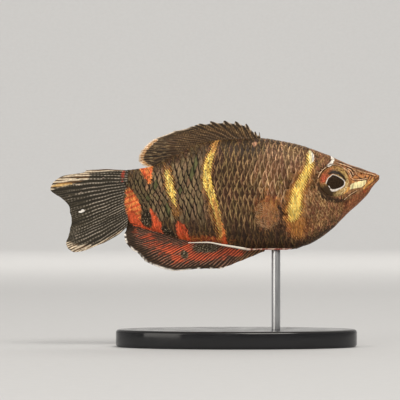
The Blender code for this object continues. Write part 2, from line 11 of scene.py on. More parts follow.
import bpy
import numpy as np
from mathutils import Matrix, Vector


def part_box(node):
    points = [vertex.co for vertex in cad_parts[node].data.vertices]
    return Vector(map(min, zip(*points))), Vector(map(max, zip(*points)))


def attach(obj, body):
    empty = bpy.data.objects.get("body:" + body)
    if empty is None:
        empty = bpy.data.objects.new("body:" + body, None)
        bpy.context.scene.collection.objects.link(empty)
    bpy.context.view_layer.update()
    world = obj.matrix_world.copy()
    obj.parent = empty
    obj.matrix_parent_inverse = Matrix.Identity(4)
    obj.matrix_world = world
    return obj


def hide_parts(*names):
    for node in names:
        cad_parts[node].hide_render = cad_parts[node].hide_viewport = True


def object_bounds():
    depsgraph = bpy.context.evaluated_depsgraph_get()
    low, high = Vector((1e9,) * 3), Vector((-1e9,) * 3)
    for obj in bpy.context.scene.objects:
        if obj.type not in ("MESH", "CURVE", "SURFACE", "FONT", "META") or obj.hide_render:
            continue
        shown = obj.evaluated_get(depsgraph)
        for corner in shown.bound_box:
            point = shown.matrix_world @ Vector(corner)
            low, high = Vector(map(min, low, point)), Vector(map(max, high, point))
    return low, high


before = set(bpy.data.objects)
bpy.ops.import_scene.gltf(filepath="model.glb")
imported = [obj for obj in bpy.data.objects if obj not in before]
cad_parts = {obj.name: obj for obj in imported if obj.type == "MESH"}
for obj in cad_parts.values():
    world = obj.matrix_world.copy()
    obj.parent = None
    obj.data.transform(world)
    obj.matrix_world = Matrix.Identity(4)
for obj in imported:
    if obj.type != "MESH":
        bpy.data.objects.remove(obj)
cad_low, cad_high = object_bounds()
BODY = "root"
MM = 0.001
print("solids reach from", [round(v / MM, 1) for v in cad_low], "to", [round(v / MM, 1) for v in cad_high])

# %% [markdown]
# ## Helpers
# A few small functions are used all through: a smooth step, a smooth line through given sizes, a mesh from
# arrays, and a way to keep numbers on its points for the materials to read. Building the mesh from whole
# arrays is quick, and turning the faces by the sign of the enclosed volume keeps them pointing outwards.

# %% Curves and steps
TAU = 2 * math.pi


def ease(value, low, high):
    """0 up to low, 1 from high on, and a smooth S between: 3t^2 - 2t^3."""
    t = np.clip((value - low) / (high - low), 0, 1)
    return t * t * (3 - 2 * t)


def hump(value, centre, width):
    """A bell: e to the minus square of the distance from its centre, in widths."""
    return np.exp(-(((value - centre) / width) ** 2))


def ripple(value):
    """A raised cosine: 1 at each whole number and 0 half-way between."""
    return 0.5 + 0.5 * np.cos(TAU * value)


def most(*values):
    """The largest of several numbers, at each point."""
    return np.max(np.broadcast_arrays(*values), axis=0)


def smooth_line(knots):
    """A curve through (x, y) knots that never overshoots: cubic pieces with limited slopes at the knots."""
    x, y = np.array(knots, float).T
    step = np.diff(x)
    rise = np.diff(y) / step
    slope = np.zeros(len(x))
    before, after = 2 * step[1:] + step[:-1], step[1:] + 2 * step[:-1]
    with np.errstate(divide="ignore", invalid="ignore"):
        mean = (before + after) / (before / rise[:-1] + after / rise[1:])
    slope[1:-1] = np.where(rise[:-1] * rise[1:] > 0, mean, 0)
    slope[0], slope[-1] = rise[0], rise[-1]

    def value(at):
        at = np.clip(np.asarray(at, float), x[0], x[-1])
        i = np.clip(np.searchsorted(x, at) - 1, 0, len(step) - 1)
        t = (at - x[i]) / step[i]
        bend, twist = 3 * rise[i] - 2 * slope[i] - slope[i + 1], slope[i] + slope[i + 1] - 2 * rise[i]
        return y[i] + step[i] * t * (slope[i] + t * (bend + t * twist))

    return value


def lengths_to(points):
    """The way along a line to each of its points, by their first two numbers."""
    return np.append(0, np.cumsum(np.linalg.norm(np.diff(points[:, :2], axis=0), axis=1)))


def read_line(line, marks, at):
    """The points of a line where its marks have the given values."""
    return np.stack([np.interp(at, marks, column) for column in line.T], -1)


def along(points, count):
    """Evenly spaced points on a smooth curve through (behind, above) points; a third number goes along."""
    points = np.array(points, float)
    marks = lengths_to(points)
    fine = np.linspace(0, marks[-1], 400)
    curve = np.stack([smooth_line(np.stack([marks, column], -1))(fine) for column in points.T], -1)
    lengths = lengths_to(curve)
    return read_line(curve, lengths, np.linspace(0, lengths[-1], count))


# %% Meshes from arrays
def new_object(name, data):
    """An object of the given data, in the scene."""
    made = bpy.data.objects.new(name, data)
    bpy.context.scene.collection.objects.link(made)
    return made


def new_piece(name, points, *faces):
    """A smooth mesh from points in millimetres and arrays of faces, turned to enclose a positive volume."""
    points = np.asarray(points, float).reshape(-1, 3)
    corners = [points[np.asarray(f)] for f in faces]
    volume = sum(
        np.einsum("ij,ij->", c[:, 0], np.cross(c[:, k], c[:, k + 1]))
        for c in corners for k in range(1, c.shape[1] - 1)
    )
    if volume < 0:
        faces = [np.asarray(f)[:, ::-1] for f in faces]
    sizes = np.concatenate([np.full(len(f), f.shape[1]) for f in faces])
    mesh = bpy.data.meshes.new(name)
    mesh.vertices.add(len(points))
    mesh.vertices.foreach_set("co", (points * MM).ravel())
    mesh.loops.add(int(sizes.sum()))
    mesh.loops.foreach_set("vertex_index", np.concatenate([np.ravel(f) for f in faces]))
    mesh.polygons.add(len(sizes))
    mesh.polygons.foreach_set("loop_start", np.concatenate([[0], np.cumsum(sizes)[:-1]]))
    mesh.update(calc_edges=True)
    mesh.shade_smooth()
    piece = new_object(name, mesh)
    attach(piece, BODY)
    print(f"{name}: {len(points)} points, {int((sizes - 2).sum())} triangles")
    return piece


def turns(count):
    """Angles that share a full turn evenly."""
    return TAU * np.arange(count) / count


def grid_faces(rows, columns, wrap=False):
    """The four-sided faces of a grid of points; wrap closes it across its columns."""
    index = np.arange(rows * columns).reshape(rows, columns)
    if wrap:
        index = np.hstack([index, index[:, :1]])
    return np.stack([index[:-1, :-1], index[1:, :-1], index[1:, 1:], index[:-1, 1:]], -1).reshape(-1, 4)


def rim_of(rows, columns):
    """The points round the border of a grid, in order."""
    index = np.arange(rows * columns).reshape(rows, columns)
    return np.concatenate([index[:, 0], index[-1, 1:], index[-2::-1, -1], index[0, -2:0:-1]])


def fan(apex, ring):
    """Triangles from one point to each two neighbours on a closed ring."""
    return np.stack([np.full(len(ring), apex), ring, np.roll(ring, -1)], -1)


def closed_tube(name, rings):
    """A piece from rings of points, wrapped round and closed by one flat face at each end."""
    rows, sides = rings.shape[:2]
    first = np.arange(sides)[None]
    last = first[:, ::-1] + (rows - 1) * sides
    return new_piece(name, rings, grid_faces(rows, sides, wrap=True), first, last)


def keep(piece, **numbers):
    """Stores numbers on the points by name, for the materials; a shorter list starts again at its end."""
    for name, values in numbers.items():
        layer = piece.data.attributes.new(name, "FLOAT", "POINT")
        layer.data.foreach_set("value", np.resize(values, len(piece.data.vertices)).astype(np.float32))


def finish_piece(piece, finish, slot, *nodes):
    """Gives a piece its material and hides the nodes of the frame that it stands for; slot is not used."""
    piece.data.materials.append(finish)
    if nodes:
        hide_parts(*nodes)


# %% [markdown]
# ## Colours and nodes
# Colours are written as they look on a screen, in sRGB hex, and one function turns them to the linear
# values that the shader wants. One other function adds a node with its settings and links and gives its
# output, so that nodes can be written one inside the other, as a formula is.

# %% Colour and node helpers
# The sockets that a node's inputs fill in order, and the output that is read, where these aren't the first.
FILLED = {"Mix": (0, 6, 7)}
READ = {"Mix": 2, "Attribute": "Fac", "TexCoord": "Object", "TexNoise": "Fac", "TexWave": "Fac"}


def linear(code):
    """The linear colour of an sRGB hex code: the lower part divided, the upper part raised to 2.4."""
    parts = [int(code[k : k + 2], 16) / 255 for k in (1, 3, 5)]
    return (*[p / 12.92 if p <= 0.04045 else ((p + 0.055) / 1.055) ** 2.4 for p in parts], 1)


def fill(node, sockets):
    """Fills sockets of a node, by number or name, with values or with links from other nodes' outputs.

    A hex code becomes its colour, and any other word reads the number that the points store under it.
    """
    for name, value in sockets.items():
        socket = node.inputs[name.replace("_", " ") if isinstance(name, str) else name]
        if isinstance(value, str) and value.startswith("#"):
            value = linear(value)
        elif isinstance(value, str):
            value = add_node(node.id_data, "Attribute", attribute_name=value)
        if isinstance(value, bpy.types.NodeSocket):
            node.id_data.links.new(value, socket)
        else:
            socket.default_value = value


def add_node(tree, kind, *inputs, **settings):
    """Adds one node and gives its output; a kind in capitals is an operation of the Math node.

    Inputs fill sockets in order. A setting with a capital names a socket, the others are the node's own.
    """
    if kind.isupper():
        kind, settings["operation"] = "Math", kind
    node = tree.nodes.new("ShaderNode" + kind)
    if kind == "Mix":
        node.data_type = "RGBA"
    sockets = dict(zip(FILLED.get(kind, range(5)), inputs))
    for name, value in settings.items():
        if name.islower():
            setattr(node, name, value)
        else:
            sockets[name] = value
    fill(node, sockets)
    return node.outputs[READ.get(kind, 0)]


def new_material(name, **shader):
    """A material with values on its shader's sockets, a function that adds nodes, and one to fill sockets."""
    made = bpy.data.materials.new(name)
    made.use_nodes = True
    main = made.node_tree.nodes["Principled BSDF"]
    fill(main, shader)
    return made, partial(add_node, made.node_tree), lambda **sockets: fill(main, sockets)


# %% [markdown]
# ## The form of the body
# The body is deep and flat from side to side, with a pointed snout. Its back, belly and half width are
# given in millimetres behind and above the tip of the snout, and each ring across it is an oval whose
# lower half is a little fuller. These are the same sizes as the solids have, so the skin fits inside them.

# %% Sizes of the body
TOTAL_LENGTH = 60.2
ANAL_FIN_DEPTH = 16.6
SNOUT_X = cad_low.x / MM + TOTAL_LENGTH
SNOUT_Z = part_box("anal_fin")[0].z / MM + ANAL_FIN_DEPTH
SKIN_END = 46.97
SNOUT_TIP = 0.3
BACK_LINE = ((0, SNOUT_TIP), (0.6, 0.98), (1.4, 1.26), (5.7, 2.82), (8.6, 4.15), (11.6, 5.28), (14.5, 6.24),
             (17.4, 6.88), (21.8, 7.5), (26.5, 7.38), (32.7, 6.6), (37.8, 4.1), (42.2, 2.2), (46.5, 1.62))
BELLY_LINE = ((0, SNOUT_TIP), (0.6, -0.62), (1.2, -1.45), (2.3, -2.98), (3.9, -4.6), (5.6, -6.22),
              (7.7, -8.38), (10.0, -10.3), (13.0, -12.05), (16.2, -12.87), (19.0, -12.92), (22.5, -12.9),
              (30.4, -11.95), (36.4, -11.05), (40.5, -9.75), (46.5, -8.3))
HALF_WIDTH = ((0, 0), (0.6, 0.8), (1.4, 1.2), (3.5, 1.95), (6.0, 2.6), (9.0, 3.15), (12.0, 3.6),
              (17.0, 4.0), (21.0, 4.0), (26.0, 3.7), (32.0, 3.0), (38.0, 2.1), (42.0, 1.5), (46.5, 0.95))
WIDEST_AT = 0.53
BELLY_ROUNDNESS = 0.9
STALK_CLOSES = (45.4, 47.0)
COAT, BARE_COAT = 0.13, 0.03
print(f"snout at x {SNOUT_X:.2f} mm, {SNOUT_Z:.2f} mm above the floor")


# %% Outline of the body
def rounded_nose(knots):
    """The same curve taken over the root of the distance, so that it leaves the snout upright and round."""
    curve = smooth_line([(math.sqrt(behind), size) for behind, size in knots])
    return lambda behind: curve(np.sqrt(np.maximum(behind, 0)))


back_line, belly_line, plain_width = (rounded_nose(line) for line in (BACK_LINE, BELLY_LINE, HALF_WIDTH))


def half_width(behind):
    """Half the body's width; past the tail stalk it closes like an ellipse, inside the root of the tail."""
    start, end = STALK_CLOSES
    past = np.clip((behind - start) / (end - start), 0, 1)
    return plain_width(behind) * np.sqrt(1 - past**2)


def widest_height(behind):
    """The height at which the body is widest."""
    low = belly_line(behind)
    return low + WIDEST_AT * (back_line(behind) - low)


def side_of_body(behind, above):
    """How far the side lies from the middle plane: the width times the oval's root of one minus share^2."""
    middle = widest_height(behind)
    up = np.asarray(above) >= middle
    reach = np.where(up, back_line(behind) - middle, middle - belly_line(behind))
    share = np.clip(np.abs(above - middle) / np.maximum(reach, 1e-9), 0, 1)
    return half_width(behind) * np.sqrt(1 - share**2) ** np.where(up, 1.0, BELLY_ROUNDNESS)


def turn_at(behind, around):
    """The angle of an oval ring at a share of the way round it, evened out by how tall the ring is.

    around is 0 on the back, 0.25 on the right side, 0.5 under the belly and 0.75 on the left side.
    """
    height, width = (back_line(behind) - belly_line(behind)) / 2, half_width(behind)
    even = np.clip((height - width) / (height + width + 1e-6), 0, 0.6)
    return TAU * around + even / 2 * np.sin(2 * TAU * around)


def ring_point(behind, turn):
    """(x, y, z) in millimetres on the body: cosine of the turn upwards, sine of it to the right side."""
    middle = widest_height(behind)
    rise, out = np.cos(turn), np.sin(turn)
    reach = np.where(rise > 0, back_line(behind) - middle, middle - belly_line(behind))
    fullness = np.where(rise > 0, 1.0, BELLY_ROUNDNESS)
    across = -half_width(behind) * np.sign(out) * np.abs(out) ** fullness
    return np.stack(np.broadcast_arrays(SNOUT_X - behind, across, SNOUT_Z + middle + reach * rise), -1)


def height_at(behind, around):
    """How far a point of the plain body lies above the tip of the snout."""
    return ring_point(behind, turn_at(behind, around))[..., 2] - SNOUT_Z


def on_body(behind, around, lift):
    """Points lifted off the body along its normal, the cross product of its two directions."""
    behind, around = np.broadcast_arrays(np.asarray(behind, float), around)
    turn, tiny = turn_at(behind, around), 2e-3
    lengthwise = ring_point(behind + tiny, turn) - ring_point(behind - tiny, turn)
    crosswise = ring_point(behind, turn + tiny) - ring_point(behind, turn - tiny)
    normal = np.cross(lengthwise, crosswise)
    normal /= np.linalg.norm(normal, axis=-1, keepdims=True) + 1e-12
    return ring_point(behind, turn) + normal * np.asarray(lift)[..., None]


# %% [markdown]
# ## Strokes and patches
# Both the relief of the head and the markings are drawn on the fish as seen from its side. A stroke is a
# line with a width, and a patch is an oval; each gives how deep a point lies inside it, in millimetres.
# The same functions serve the skin, the scales and the fins, so a bar runs on without a break.

# %% Strokes and patches
def stroke(knots, behind, above):
    """Half width less the distance to the nearest point of a line through (behind, above, half width)."""
    depth = np.full(np.shape(behind), -9.0)
    knots = np.array(knots, float)
    for start, end in zip(knots[:-1], knots[1:]):
        way = end - start
        share = ((behind - start[0]) * way[0] + (above - start[1]) * way[1]) / (way[0] ** 2 + way[1] ** 2)
        share = np.clip(share, 0, 1)
        gap = np.hypot(behind - start[0] - share * way[0], above - start[1] - share * way[1])
        depth = np.maximum(depth, start[2] + share * way[2] - gap)
    return depth


def patch(centre, radii, behind, above):
    """Depth inside an oval: one less the scaled distance from its centre, times its smaller radius."""
    scaled = np.hypot((behind - centre[0]) / radii[0], (above - centre[1]) / radii[1])
    return (1 - scaled) * min(radii)


def deepest(strokes, behind, above):
    """The depth inside the nearest of several strokes."""
    return most(*[stroke(knots, behind, above) for knots in strokes])


def thin_line(points):
    """Knots of a stroke without width through (behind, above) points, smoothed into a curve."""
    return [(*point, 0.0) for point in along(points, 4 * len(points))]


# %% [markdown]
# ## Relief of the head
# A real head isn't smooth: the eye sits in a hollow with a raised rim, the lips are two rolls on either
# side of the mouth, folds of skin run over the eye, the nostrils are small pits, and the gill cover ends
# in a free edge. Sculpting by hand would be hard to repeat, so each form is a bell or a step of the
# distance to a line, added to the lift of the skin.

# %% Lines of the relief
EYE_CENTRE = (8.4, -0.45)
EYE_OPENING = 2.68
MOUTH_CORNER = (2.5, -1.6)
NOSTRILS = ((4.9, 1.55, 0.2), (3.4, 0.95, 0.15))
GILL_EDGE = along(((12.6, 6.2), (12.9, 5.6), (14.4, 3.2), (15.9, 0.3), (16.9, -3.3), (16.9, -6.2),
                   (15.8, -9.5), (13.9, -12.2), (12.6, -14.5)), 40)
cheek_line = thin_line(((12.6, 1.2), (12.5, -2.6), (12.0, -5.6), (10.8, -7.6), (8.6, -7.4), (6.6, -6.0)))
jaw_line = thin_line(((6.5, -3.75), (5.2, -2.7), (3.9, -1.95)))
# Three folds over the eye, from the outermost in, then the snout's fold and the upper lid.
fold_lines = [thin_line(points) for points in (
    ((8.01, 3.14), (7.17, 2.83), (6.12, 2.52), (5.29, 2.15), (4.76, 1.73), (4.4, 1.21), (4.19, 0.84)),
    ((5.85, 1.98), (5.3, 1.6), (5.0, 1.15), (4.85, 0.75)),
    ((6.7, 2.15), (6.0, 1.75), (5.55, 1.3), (5.3, 0.75), (5.1, 0.4)),
    ((4.03, 1.52), (2.98, 1.15), (1.7, 0.92), (0.7, 0.62)),
    ((11.3, 0.3), (10.84, 1.21), (9.79, 2.14), (8.64, 2.56), (7.5, 2.42), (6.5, 1.85), (5.8, 1.1),
     (5.35, 0.3), (4.6, -0.15), (3.4, -0.1), (2.3, 0.1)),
)]
TAIL_RAY_HUB = (25.9, 3.57)
TAIL_RAY_PITCH = 0.045
TAIL_EDGE_AT, TAIL_EDGE_SLANT = 46.7, 0.6
BARE_SNOUT = (3.5, 6.5)
# Heights and depths of the forms of the head and the tail's root, in millimetres.
EYE_HOLLOW, EYE_RIM, NOSTRIL_PIT, NOSTRIL_RIM = 1.5, 0.12, 0.4, 0.08
FOLD_RISE, JAW_RISE, CHEEK_RISE, CHEEK_GROOVE = 0.06, 0.04, 0.07, 0.06
GILL_STEP, GILL_GROOVE, RAY_RISE, BONE_RISE = 0.12, 0.13, 0.07, 0.025


def from_eye(behind, above):
    """The distance from the middle of the eye."""
    return np.hypot(behind - EYE_CENTRE[0], above - EYE_CENTRE[1])


def ahead_of_gill_edge(behind, above):
    """How far a point lies in front of the gill cover's free edge, measured along the body."""
    order = np.argsort(GILL_EDGE[:, 1])
    return np.interp(above, GILL_EDGE[order, 1], GILL_EDGE[order, 0]) - behind


def behind_tail_edge(behind, above):
    """How far a point lies behind the slanting line where the scales end and the tail's rays begin."""
    return behind - TAIL_EDGE_AT - TAIL_EDGE_SLANT * np.clip(above + 0.9, -5.6, 0)


def tail_ray_lines(behind, above):
    """The roots of the tail's rays, 0 to 1: even steps of the angle round the point where they meet."""
    angle = np.arctan2(TAIL_RAY_HUB[1] - above, behind - TAIL_RAY_HUB[0])
    return ripple(angle / TAIL_RAY_PITCH)


def coat_depth(behind):
    """How far the skin lies inside the solids: the depth of the scales, and less on the bare snout."""
    return BARE_COAT + (COAT - BARE_COAT) * ease(behind, *BARE_SNOUT)


# %% Relief
def mouth_relief(behind, above):
    """Two rolls and the groove between them, along the slanting line of the mouth to its corner."""
    way_b, way_a = MOUTH_CORNER[0], MOUTH_CORNER[1] - SNOUT_TIP
    length = math.hypot(way_b, way_a)
    forward = (behind * way_b + (above - SNOUT_TIP) * way_a) / length
    over = (behind * -way_a + (above - SNOUT_TIP) * way_b) / length
    held = ease(forward, length * 1.08, length * 0.8)
    deep = 0.05 + 0.15 * ease(forward, 0.2, 0.9)
    rolls = 0.09 * hump(over, 0.3, 0.2) + 0.08 * hump(over, -0.3, 0.2)
    folds = 0.06 * hump(over, 0.78, 0.13) + 0.04 * hump(over, -0.85, 0.16)
    return held * (rolls - deep * hump(over, 0, 0.09) - folds)


def relief(behind, above, part="skin"):
    """Lift of the skin over the plain body in millimetres, on both sides alike.

    The scales of the head stay at the height of the gill cover and those of the body behind its groove,
    so no scale is torn where the cover ends.
    """
    to_eye = from_eye(behind, above)
    up = np.clip((above - EYE_CENTRE[1]) / 2.6, -1, 1)
    lift = -EYE_HOLLOW * ease(to_eye, EYE_OPENING + 0.07, EYE_OPENING - 0.35)
    lift += (EYE_RIM + 0.07 * up) * hump(to_eye, EYE_OPENING + 0.2, 0.17) + mouth_relief(behind, above)
    for centre_b, centre_a, radius in NOSTRILS:
        to_pit = np.hypot(behind - centre_b, above - centre_a)
        lift += NOSTRIL_RIM * hump(to_pit, radius + 0.14, 0.1) - NOSTRIL_PIT * hump(to_pit, 0, radius)
    for line in fold_lines:
        depth = stroke(line, behind, above)
        lift += FOLD_RISE * (hump(depth, 0, 0.1) - hump(depth, -0.22, 0.09))
    cheek = stroke(cheek_line, behind, above)
    lift += JAW_RISE * hump(stroke(jaw_line, behind, above), 0, 0.14)
    lift += CHEEK_RISE * hump(cheek, 0, 0.3) - CHEEK_GROOVE * hump(cheek, -0.55, 0.2)
    ahead = ahead_of_gill_edge(behind, above)
    ahead = {"skin": ahead, "head": np.maximum(ahead, 0.2), "body": np.minimum(ahead, -0.45)}[part]
    cover = ease(ahead, -0.05, 0.16) * ease(ahead, 3.2, 0.3)
    free = ease(above, 5.6, 4.0) * ease(above, -11.8, -9.6)
    lift += (GILL_STEP * cover - GILL_GROOVE * hump(ahead, -0.2, 0.16)) * free
    rays = tail_ray_lines(behind, above) * ease(behind_tail_edge(behind, above), -0.2, 0.3)
    lift += RAY_RISE * (rays - 0.3) * ease(behind, 43.0, 44.5)
    bones = np.sin(1.9 * behind + 0.7 * above) * np.sin(1.3 * above - 0.5 * behind)
    return lift + BONE_RISE * bones * ease(behind, 16, 10) * ease(to_eye, 2.8, 3.6)


# %% [markdown]
# ## Markings
# The fish is chocolate brown with narrow yellow bars: a short white one over the eye, one behind the gill
# cover, one in the middle and one before the tail stalk. They turn orange and red towards the belly, and
# red patches follow at the tail's root. Each marking is a few strokes and patches, kept on the points as
# a number that is one half on its edge; the materials roughen that edge with noise.

# %% Strokes of the markings
YELLOW_BARS = (
    ((12.8, 4.3, 0.3), (12.7, 3.1, 0.5), (13.0, 2.2, 0.52), (13.45, 1.0, 0.6), (14.3, -0.64, 0.7),
     (15.0, -2.1, 0.85), (15.3, -3.6, 0.98), (15.45, -5.0, 1.1), (15.65, -6.2, 1.05), (16.1, -7.1, 0.55)),
    ((29.6, 6.9, 0.15), (30.37, 5.22, 0.4), (31.28, 2.97, 0.6), (31.5, 0.93, 0.7), (31.39, -0.73, 0.8),
     (30.75, -2.61, 0.68), (30.15, -4.47, 0.6), (29.65, -6.33, 0.5), (29.25, -8.0, 0.38), (28.9, -10.6, 0.2)),
    ((38.8, 1.7, 0.2), (38.75, 1.0, 0.45), (38.45, 0.0, 0.62), (38.18, -1.48, 0.7), (37.8, -2.97, 0.66),
     (37.4, -4.2, 0.35), (37.1, -5.0, 0.15)),
)
CREAM_PATCHES = (
    ((12.8, 5.0, 0.28), (12.5, 4.35, 0.42), (12.5, 3.6, 0.4), (12.65, 2.9, 0.2)),
    ((5.4, -1.85, 0.12), (5.0, -1.3, 0.45), (4.3, -1.1, 0.58), (3.6, -0.95, 0.58), (3.0, -0.7, 0.45),
     (2.55, -0.35, 0.15)),
)
AMBER_STREAKS = (
    ((29.55, 7.3, 0.3), (30.1, 5.9, 0.42), (30.45, 5.0, 0.25)),
    ((30.6, -3.4, 0.15), (30.0, -4.9, 0.36), (29.55, -6.6, 0.38), (29.2, -8.2, 0.3), (28.9, -10.0, 0.2)),
    ((2.95, -1.7, 0.12), (2.3, -1.15, 0.3), (1.5, -0.38, 0.22), (1.1, 0.0, 0.1)),
    ((7.4, -2.6, 0.25), (6.3, -2.2, 0.35), (5.7, -1.7, 0.25)),
)
FRINGE_STROKES = (
    ((12.8, 2.8, 0.6), (13.3, 1.2, 1.0), (14.4, -0.9, 1.4), (15.3, -2.8, 1.7), (15.7, -4.6, 1.75),
     (15.9, -6.6, 1.6), (15.3, -8.4, 1.5), (14.9, -9.6, 1.2)),
    ((29.5, 7.2, 0.3), (30.37, 5.22, 0.6), (31.28, 2.97, 0.75), (31.5, -0.7, 0.95), (30.7, -4.0, 0.8),
     (29.7, -7.6, 0.75), (29.0, -9.8, 0.7), (28.7, -11.5, 0.6)),
    ((38.8, 2.2, 0.4), (38.6, 0.8, 0.75), (38.2, -1.5, 0.85), (37.5, -4.2, 0.6), (37.0, -6.2, 0.7)),
)
WHITE_STROKES = (
    ((8.57, 4.1, 0.24), (8.5, 3.56, 0.27), (8.78, 3.0, 0.27), (9.35, 2.4, 0.24)),
    ((12.5, 4.9, 0.1), (12.22, 4.25, 0.16), (12.18, 3.6, 0.18), (12.3, 3.1, 0.1)),
)
ROOT_BAR = ((45.7, -2.2, 0.5), (45.25, -4.01, 1.2), (44.9, -5.65, 1.4), (44.4, -6.8, 1.0))
ORANGE_STROKES = (
    ROOT_BAR,
    ((29.3, -7.4, 0.35), (28.9, -9.2, 0.5), (28.5, -10.8, 0.5)),
    ((42.6, 2.4, 1.2), (42.4, 1.3, 0.95), (42.2, 0.2, 0.6), (42.1, -0.4, 0.4)),
)
RED_STROKES = (
    ((36.6, -8.2, 0.4), (36.2, -9.0, 0.85), (35.9, -10.23, 0.95), (35.5, -11.6, 0.9)),
    ((43.3, 2.2, 0.25), (42.9, 0.9, 0.2), (42.3, -0.3, 0.28)),
    ((41.7, 1.7, 0.2), (41.9, 0.6, 0.2)),
    ((46.7, 1.3, 0.4), (46.85, 0.3, 0.34), (46.9, -0.5, 0.15)),
    ((45.4, -6.4, 0.7), (44.6, -7.6, 0.9), (43.9, -8.8, 0.8), (42.4, -9.6, 0.6), (40.4, -10.0, 0.6),
     (39.2, -10.5, 0.4)),
    ((41.8, -5.4, 0.15), (41.2, -6.6, 0.5), (40.7, -8.2, 0.8), (40.4, -9.4, 0.85)),
    ((28.4, -10.6, 0.35), (28.2, -12.2, 0.5)),
)
DARK_STROKES = (((39.4, -8.9, 0.45), (38.4, -10.1, 0.75), (37.2, -11.3, 0.75)),)
# Short dark lines on the snout, its own colour; the line above the folds over the eye and the one along the
# mouth are painted shade in grooves of the relief.
SNOUT_LINES_AND_CREASE_SHADE = (
    ((1.88, 0.58, 0.06), (2.1, 0.1, 0.1), (2.46, -0.4, 0.06)),
    ((1.31, 0.58, 0.06), (1.6, 0.1, 0.09), (1.93, -0.33, 0.05)),
    ((0.78, 0.58, 0.05), (1.0, 0.2, 0.08), (1.2, -0.12, 0.04)),
    ((2.6, 0.55, 0.05), (2.8, 0.15, 0.07), (3.1, -0.2, 0.04)),
    ((4.1, 0.6, 0.06), (3.7, 0.2, 0.1), (3.2, 0.1, 0.05)),
    ((7.6, 3.3, 0.07), (5.6, 2.5, 0.1), (3.6, 1.75, 0.08), (2.2, 1.35, 0.05)),
    ((0.0, SNOUT_TIP, 0.03), (1.3, -0.65, 0.06), (2.3, -1.45, 0.04)),
)
SHADOW_STROKES = (
    ((18.7, -4.9, 0.2), (18.0, -5.8, 0.4), (17.6, -7.2, 0.5), (17.5, -8.6, 0.5), (17.9, -9.8, 0.3)),
    ((11.3, -0.9, 0.3), (10.9, -2.2, 0.5), (9.9, -3.4, 0.6), (8.3, -3.9, 0.5), (6.9, -3.9, 0.2)),
    ((10.2, 2.0, 0.2), (8.6, 2.5, 0.28), (7.0, 2.0, 0.2)),
)
SOFT_EDGE = 0.22


# %% Markings
def painted(depth, soft=SOFT_EDGE):
    """A marking's strength from its depth: one half on the edge, over a soft width to each side."""
    return np.clip(0.5 + depth / (2 * soft), 0, 1)


def markings(behind, above):
    """All the markings of skin and scales, as numbers from 0 to 1."""
    def strongest(strokes, soft):
        return painted(deepest(strokes, behind, above), soft)

    def spot(centre, radii, soft):
        return painted(patch(centre, radii, behind, above), soft)

    share_up = (above - belly_line(behind)) / np.maximum(back_line(behind) - belly_line(behind), 0.1)
    head = ease(ahead_of_gill_edge(behind, above), -1.2 - 2.2 * ease(above, -7.0, -11.0), 1.2)
    crisp = ease(behind, 20.0, 22.0)
    bars = 0.5 + deepest(YELLOW_BARS, behind, above) / 0.9
    bars = np.clip(0.5 + (bars - 0.5) * (1 + 1.6 * crisp), -0.6 * crisp, 1 + 0.6 * crisp)
    to_line = deepest([*fold_lines, jaw_line], behind, above)
    rayed = most(0.8 * ease(tail_ray_lines(behind, above), 0.62, 0.12), ease(above, -6.9, -8.1))
    return {
        "pale": spot((17.4, 0.6), (7.0, 6.0), 3.0) * 0.85,
        "head": head,
        "rear": ease(behind, 29.5, 34.0),
        # Painted shade: darker towards the belly and the back, and on the nape.
        "deep": most(
            ease(share_up, 0.36, 0.06) * (1 - head),
            ease(share_up, 0.32, 0.0) * (0.5 + 0.22 * ease(behind, 8.0, 12.0)) * ease(behind, 3.5, 7.5),
            spot((11.3, 3.4), (1.7, 1.5), 0.9) * 0.5,
            ease(share_up, 0.7, 0.96) * 0.6 * ease(behind, 16.0, 24.0),
        ),
        "stalk": ease(behind, 39.5, 43.0) * 0.8,
        "warm": most(
            spot((14.9, -8.6), (3.0, 2.1), 1.1) * 0.8,
            spot((20.4, -5.6), (2.4, 3.4), 1.6) * 0.85,
            ease(behind, 9.5, 5.0) * ease(share_up, 0.5, 0.1) * 0.9,
            ease(behind, 4.0, 1.5) * 0.8,
        ),
        "rust": most(spot((32.4, -11.3), (4.2, 0.9), 0.7),
                     strongest((((1.7, -1.4, 0.15), (2.8, -2.3, 0.3)),), 0.2)),
        "gold": most(spot((3.6, 0.1), (3.6, 1.3), 0.6) * 0.9, spot((7.0, 1.7), (2.6, 1.1), 0.6) * 0.9,
                     spot((20.4, -5.8), (2.3, 3.2), 1.6) * 0.62),
        "shadow": strongest(SHADOW_STROKES, 0.45),
        "cheek": spot((11.3, -4.2), (2.6, 4.4), 1.2) * ease(from_eye(behind, above), 2.9, 3.6),
        "fringe": strongest(FRINGE_STROKES, 0.6) * (1 - 0.25 * crisp),
        "orange": strongest(ORANGE_STROKES, 0.35),
        "yellow": bars * (1 - 0.36 * ease(behind, 33, 36)),
        "streak": strongest(AMBER_STREAKS, 0.12),
        "cream": strongest(CREAM_PATCHES, 0.12),
        "red": most(strongest(RED_STROKES, 0.3),
                    painted(stroke(ROOT_BAR, behind, above) + 0.2, 0.3) * rayed),
        "dark": most(spot((42.5, -7.2), (0.95, 1.4), 0.3), strongest(DARK_STROKES, 0.3)),
        # Painted shade in the dips beside each fold of the head and the jaw's ridge, with the strokes of
        # snout lines and grooves.
        "furrow": most(painted(0.08 - np.abs(to_line + 0.17), 0.06) * 0.72, strongest(SNOUT_LINES_AND_CREASE_SHADE, 0.08)),
        "line": painted(to_line + 0.045, 0.05),
        "white": strongest(WHITE_STROKES, 0.12) * 1.2,
        "olive": spot((17.8, -0.66), (0.55, 0.45), 0.3) * 0.6,
        "fleck": spot((22.8, 6.38), (0.46, 0.36), 0.12) * 1.3,
        "speckled": most(np.clip(bars, 0, 1) * (0.15 + 0.85 * crisp), 0.5 * strongest(ORANGE_STROKES, 0.4)),
    }


# %% [markdown]
# ## The skin
# The skin is one closed surface from the snout to inside the root of the tail fin, so that no joint shows
# between the head, the jaw, the gill covers and the body. It is a grid of rings, close together on the
# head, where the relief is, and wider apart on the body, which the scales cover. It lies inside the
# solids by the depth of the scales.

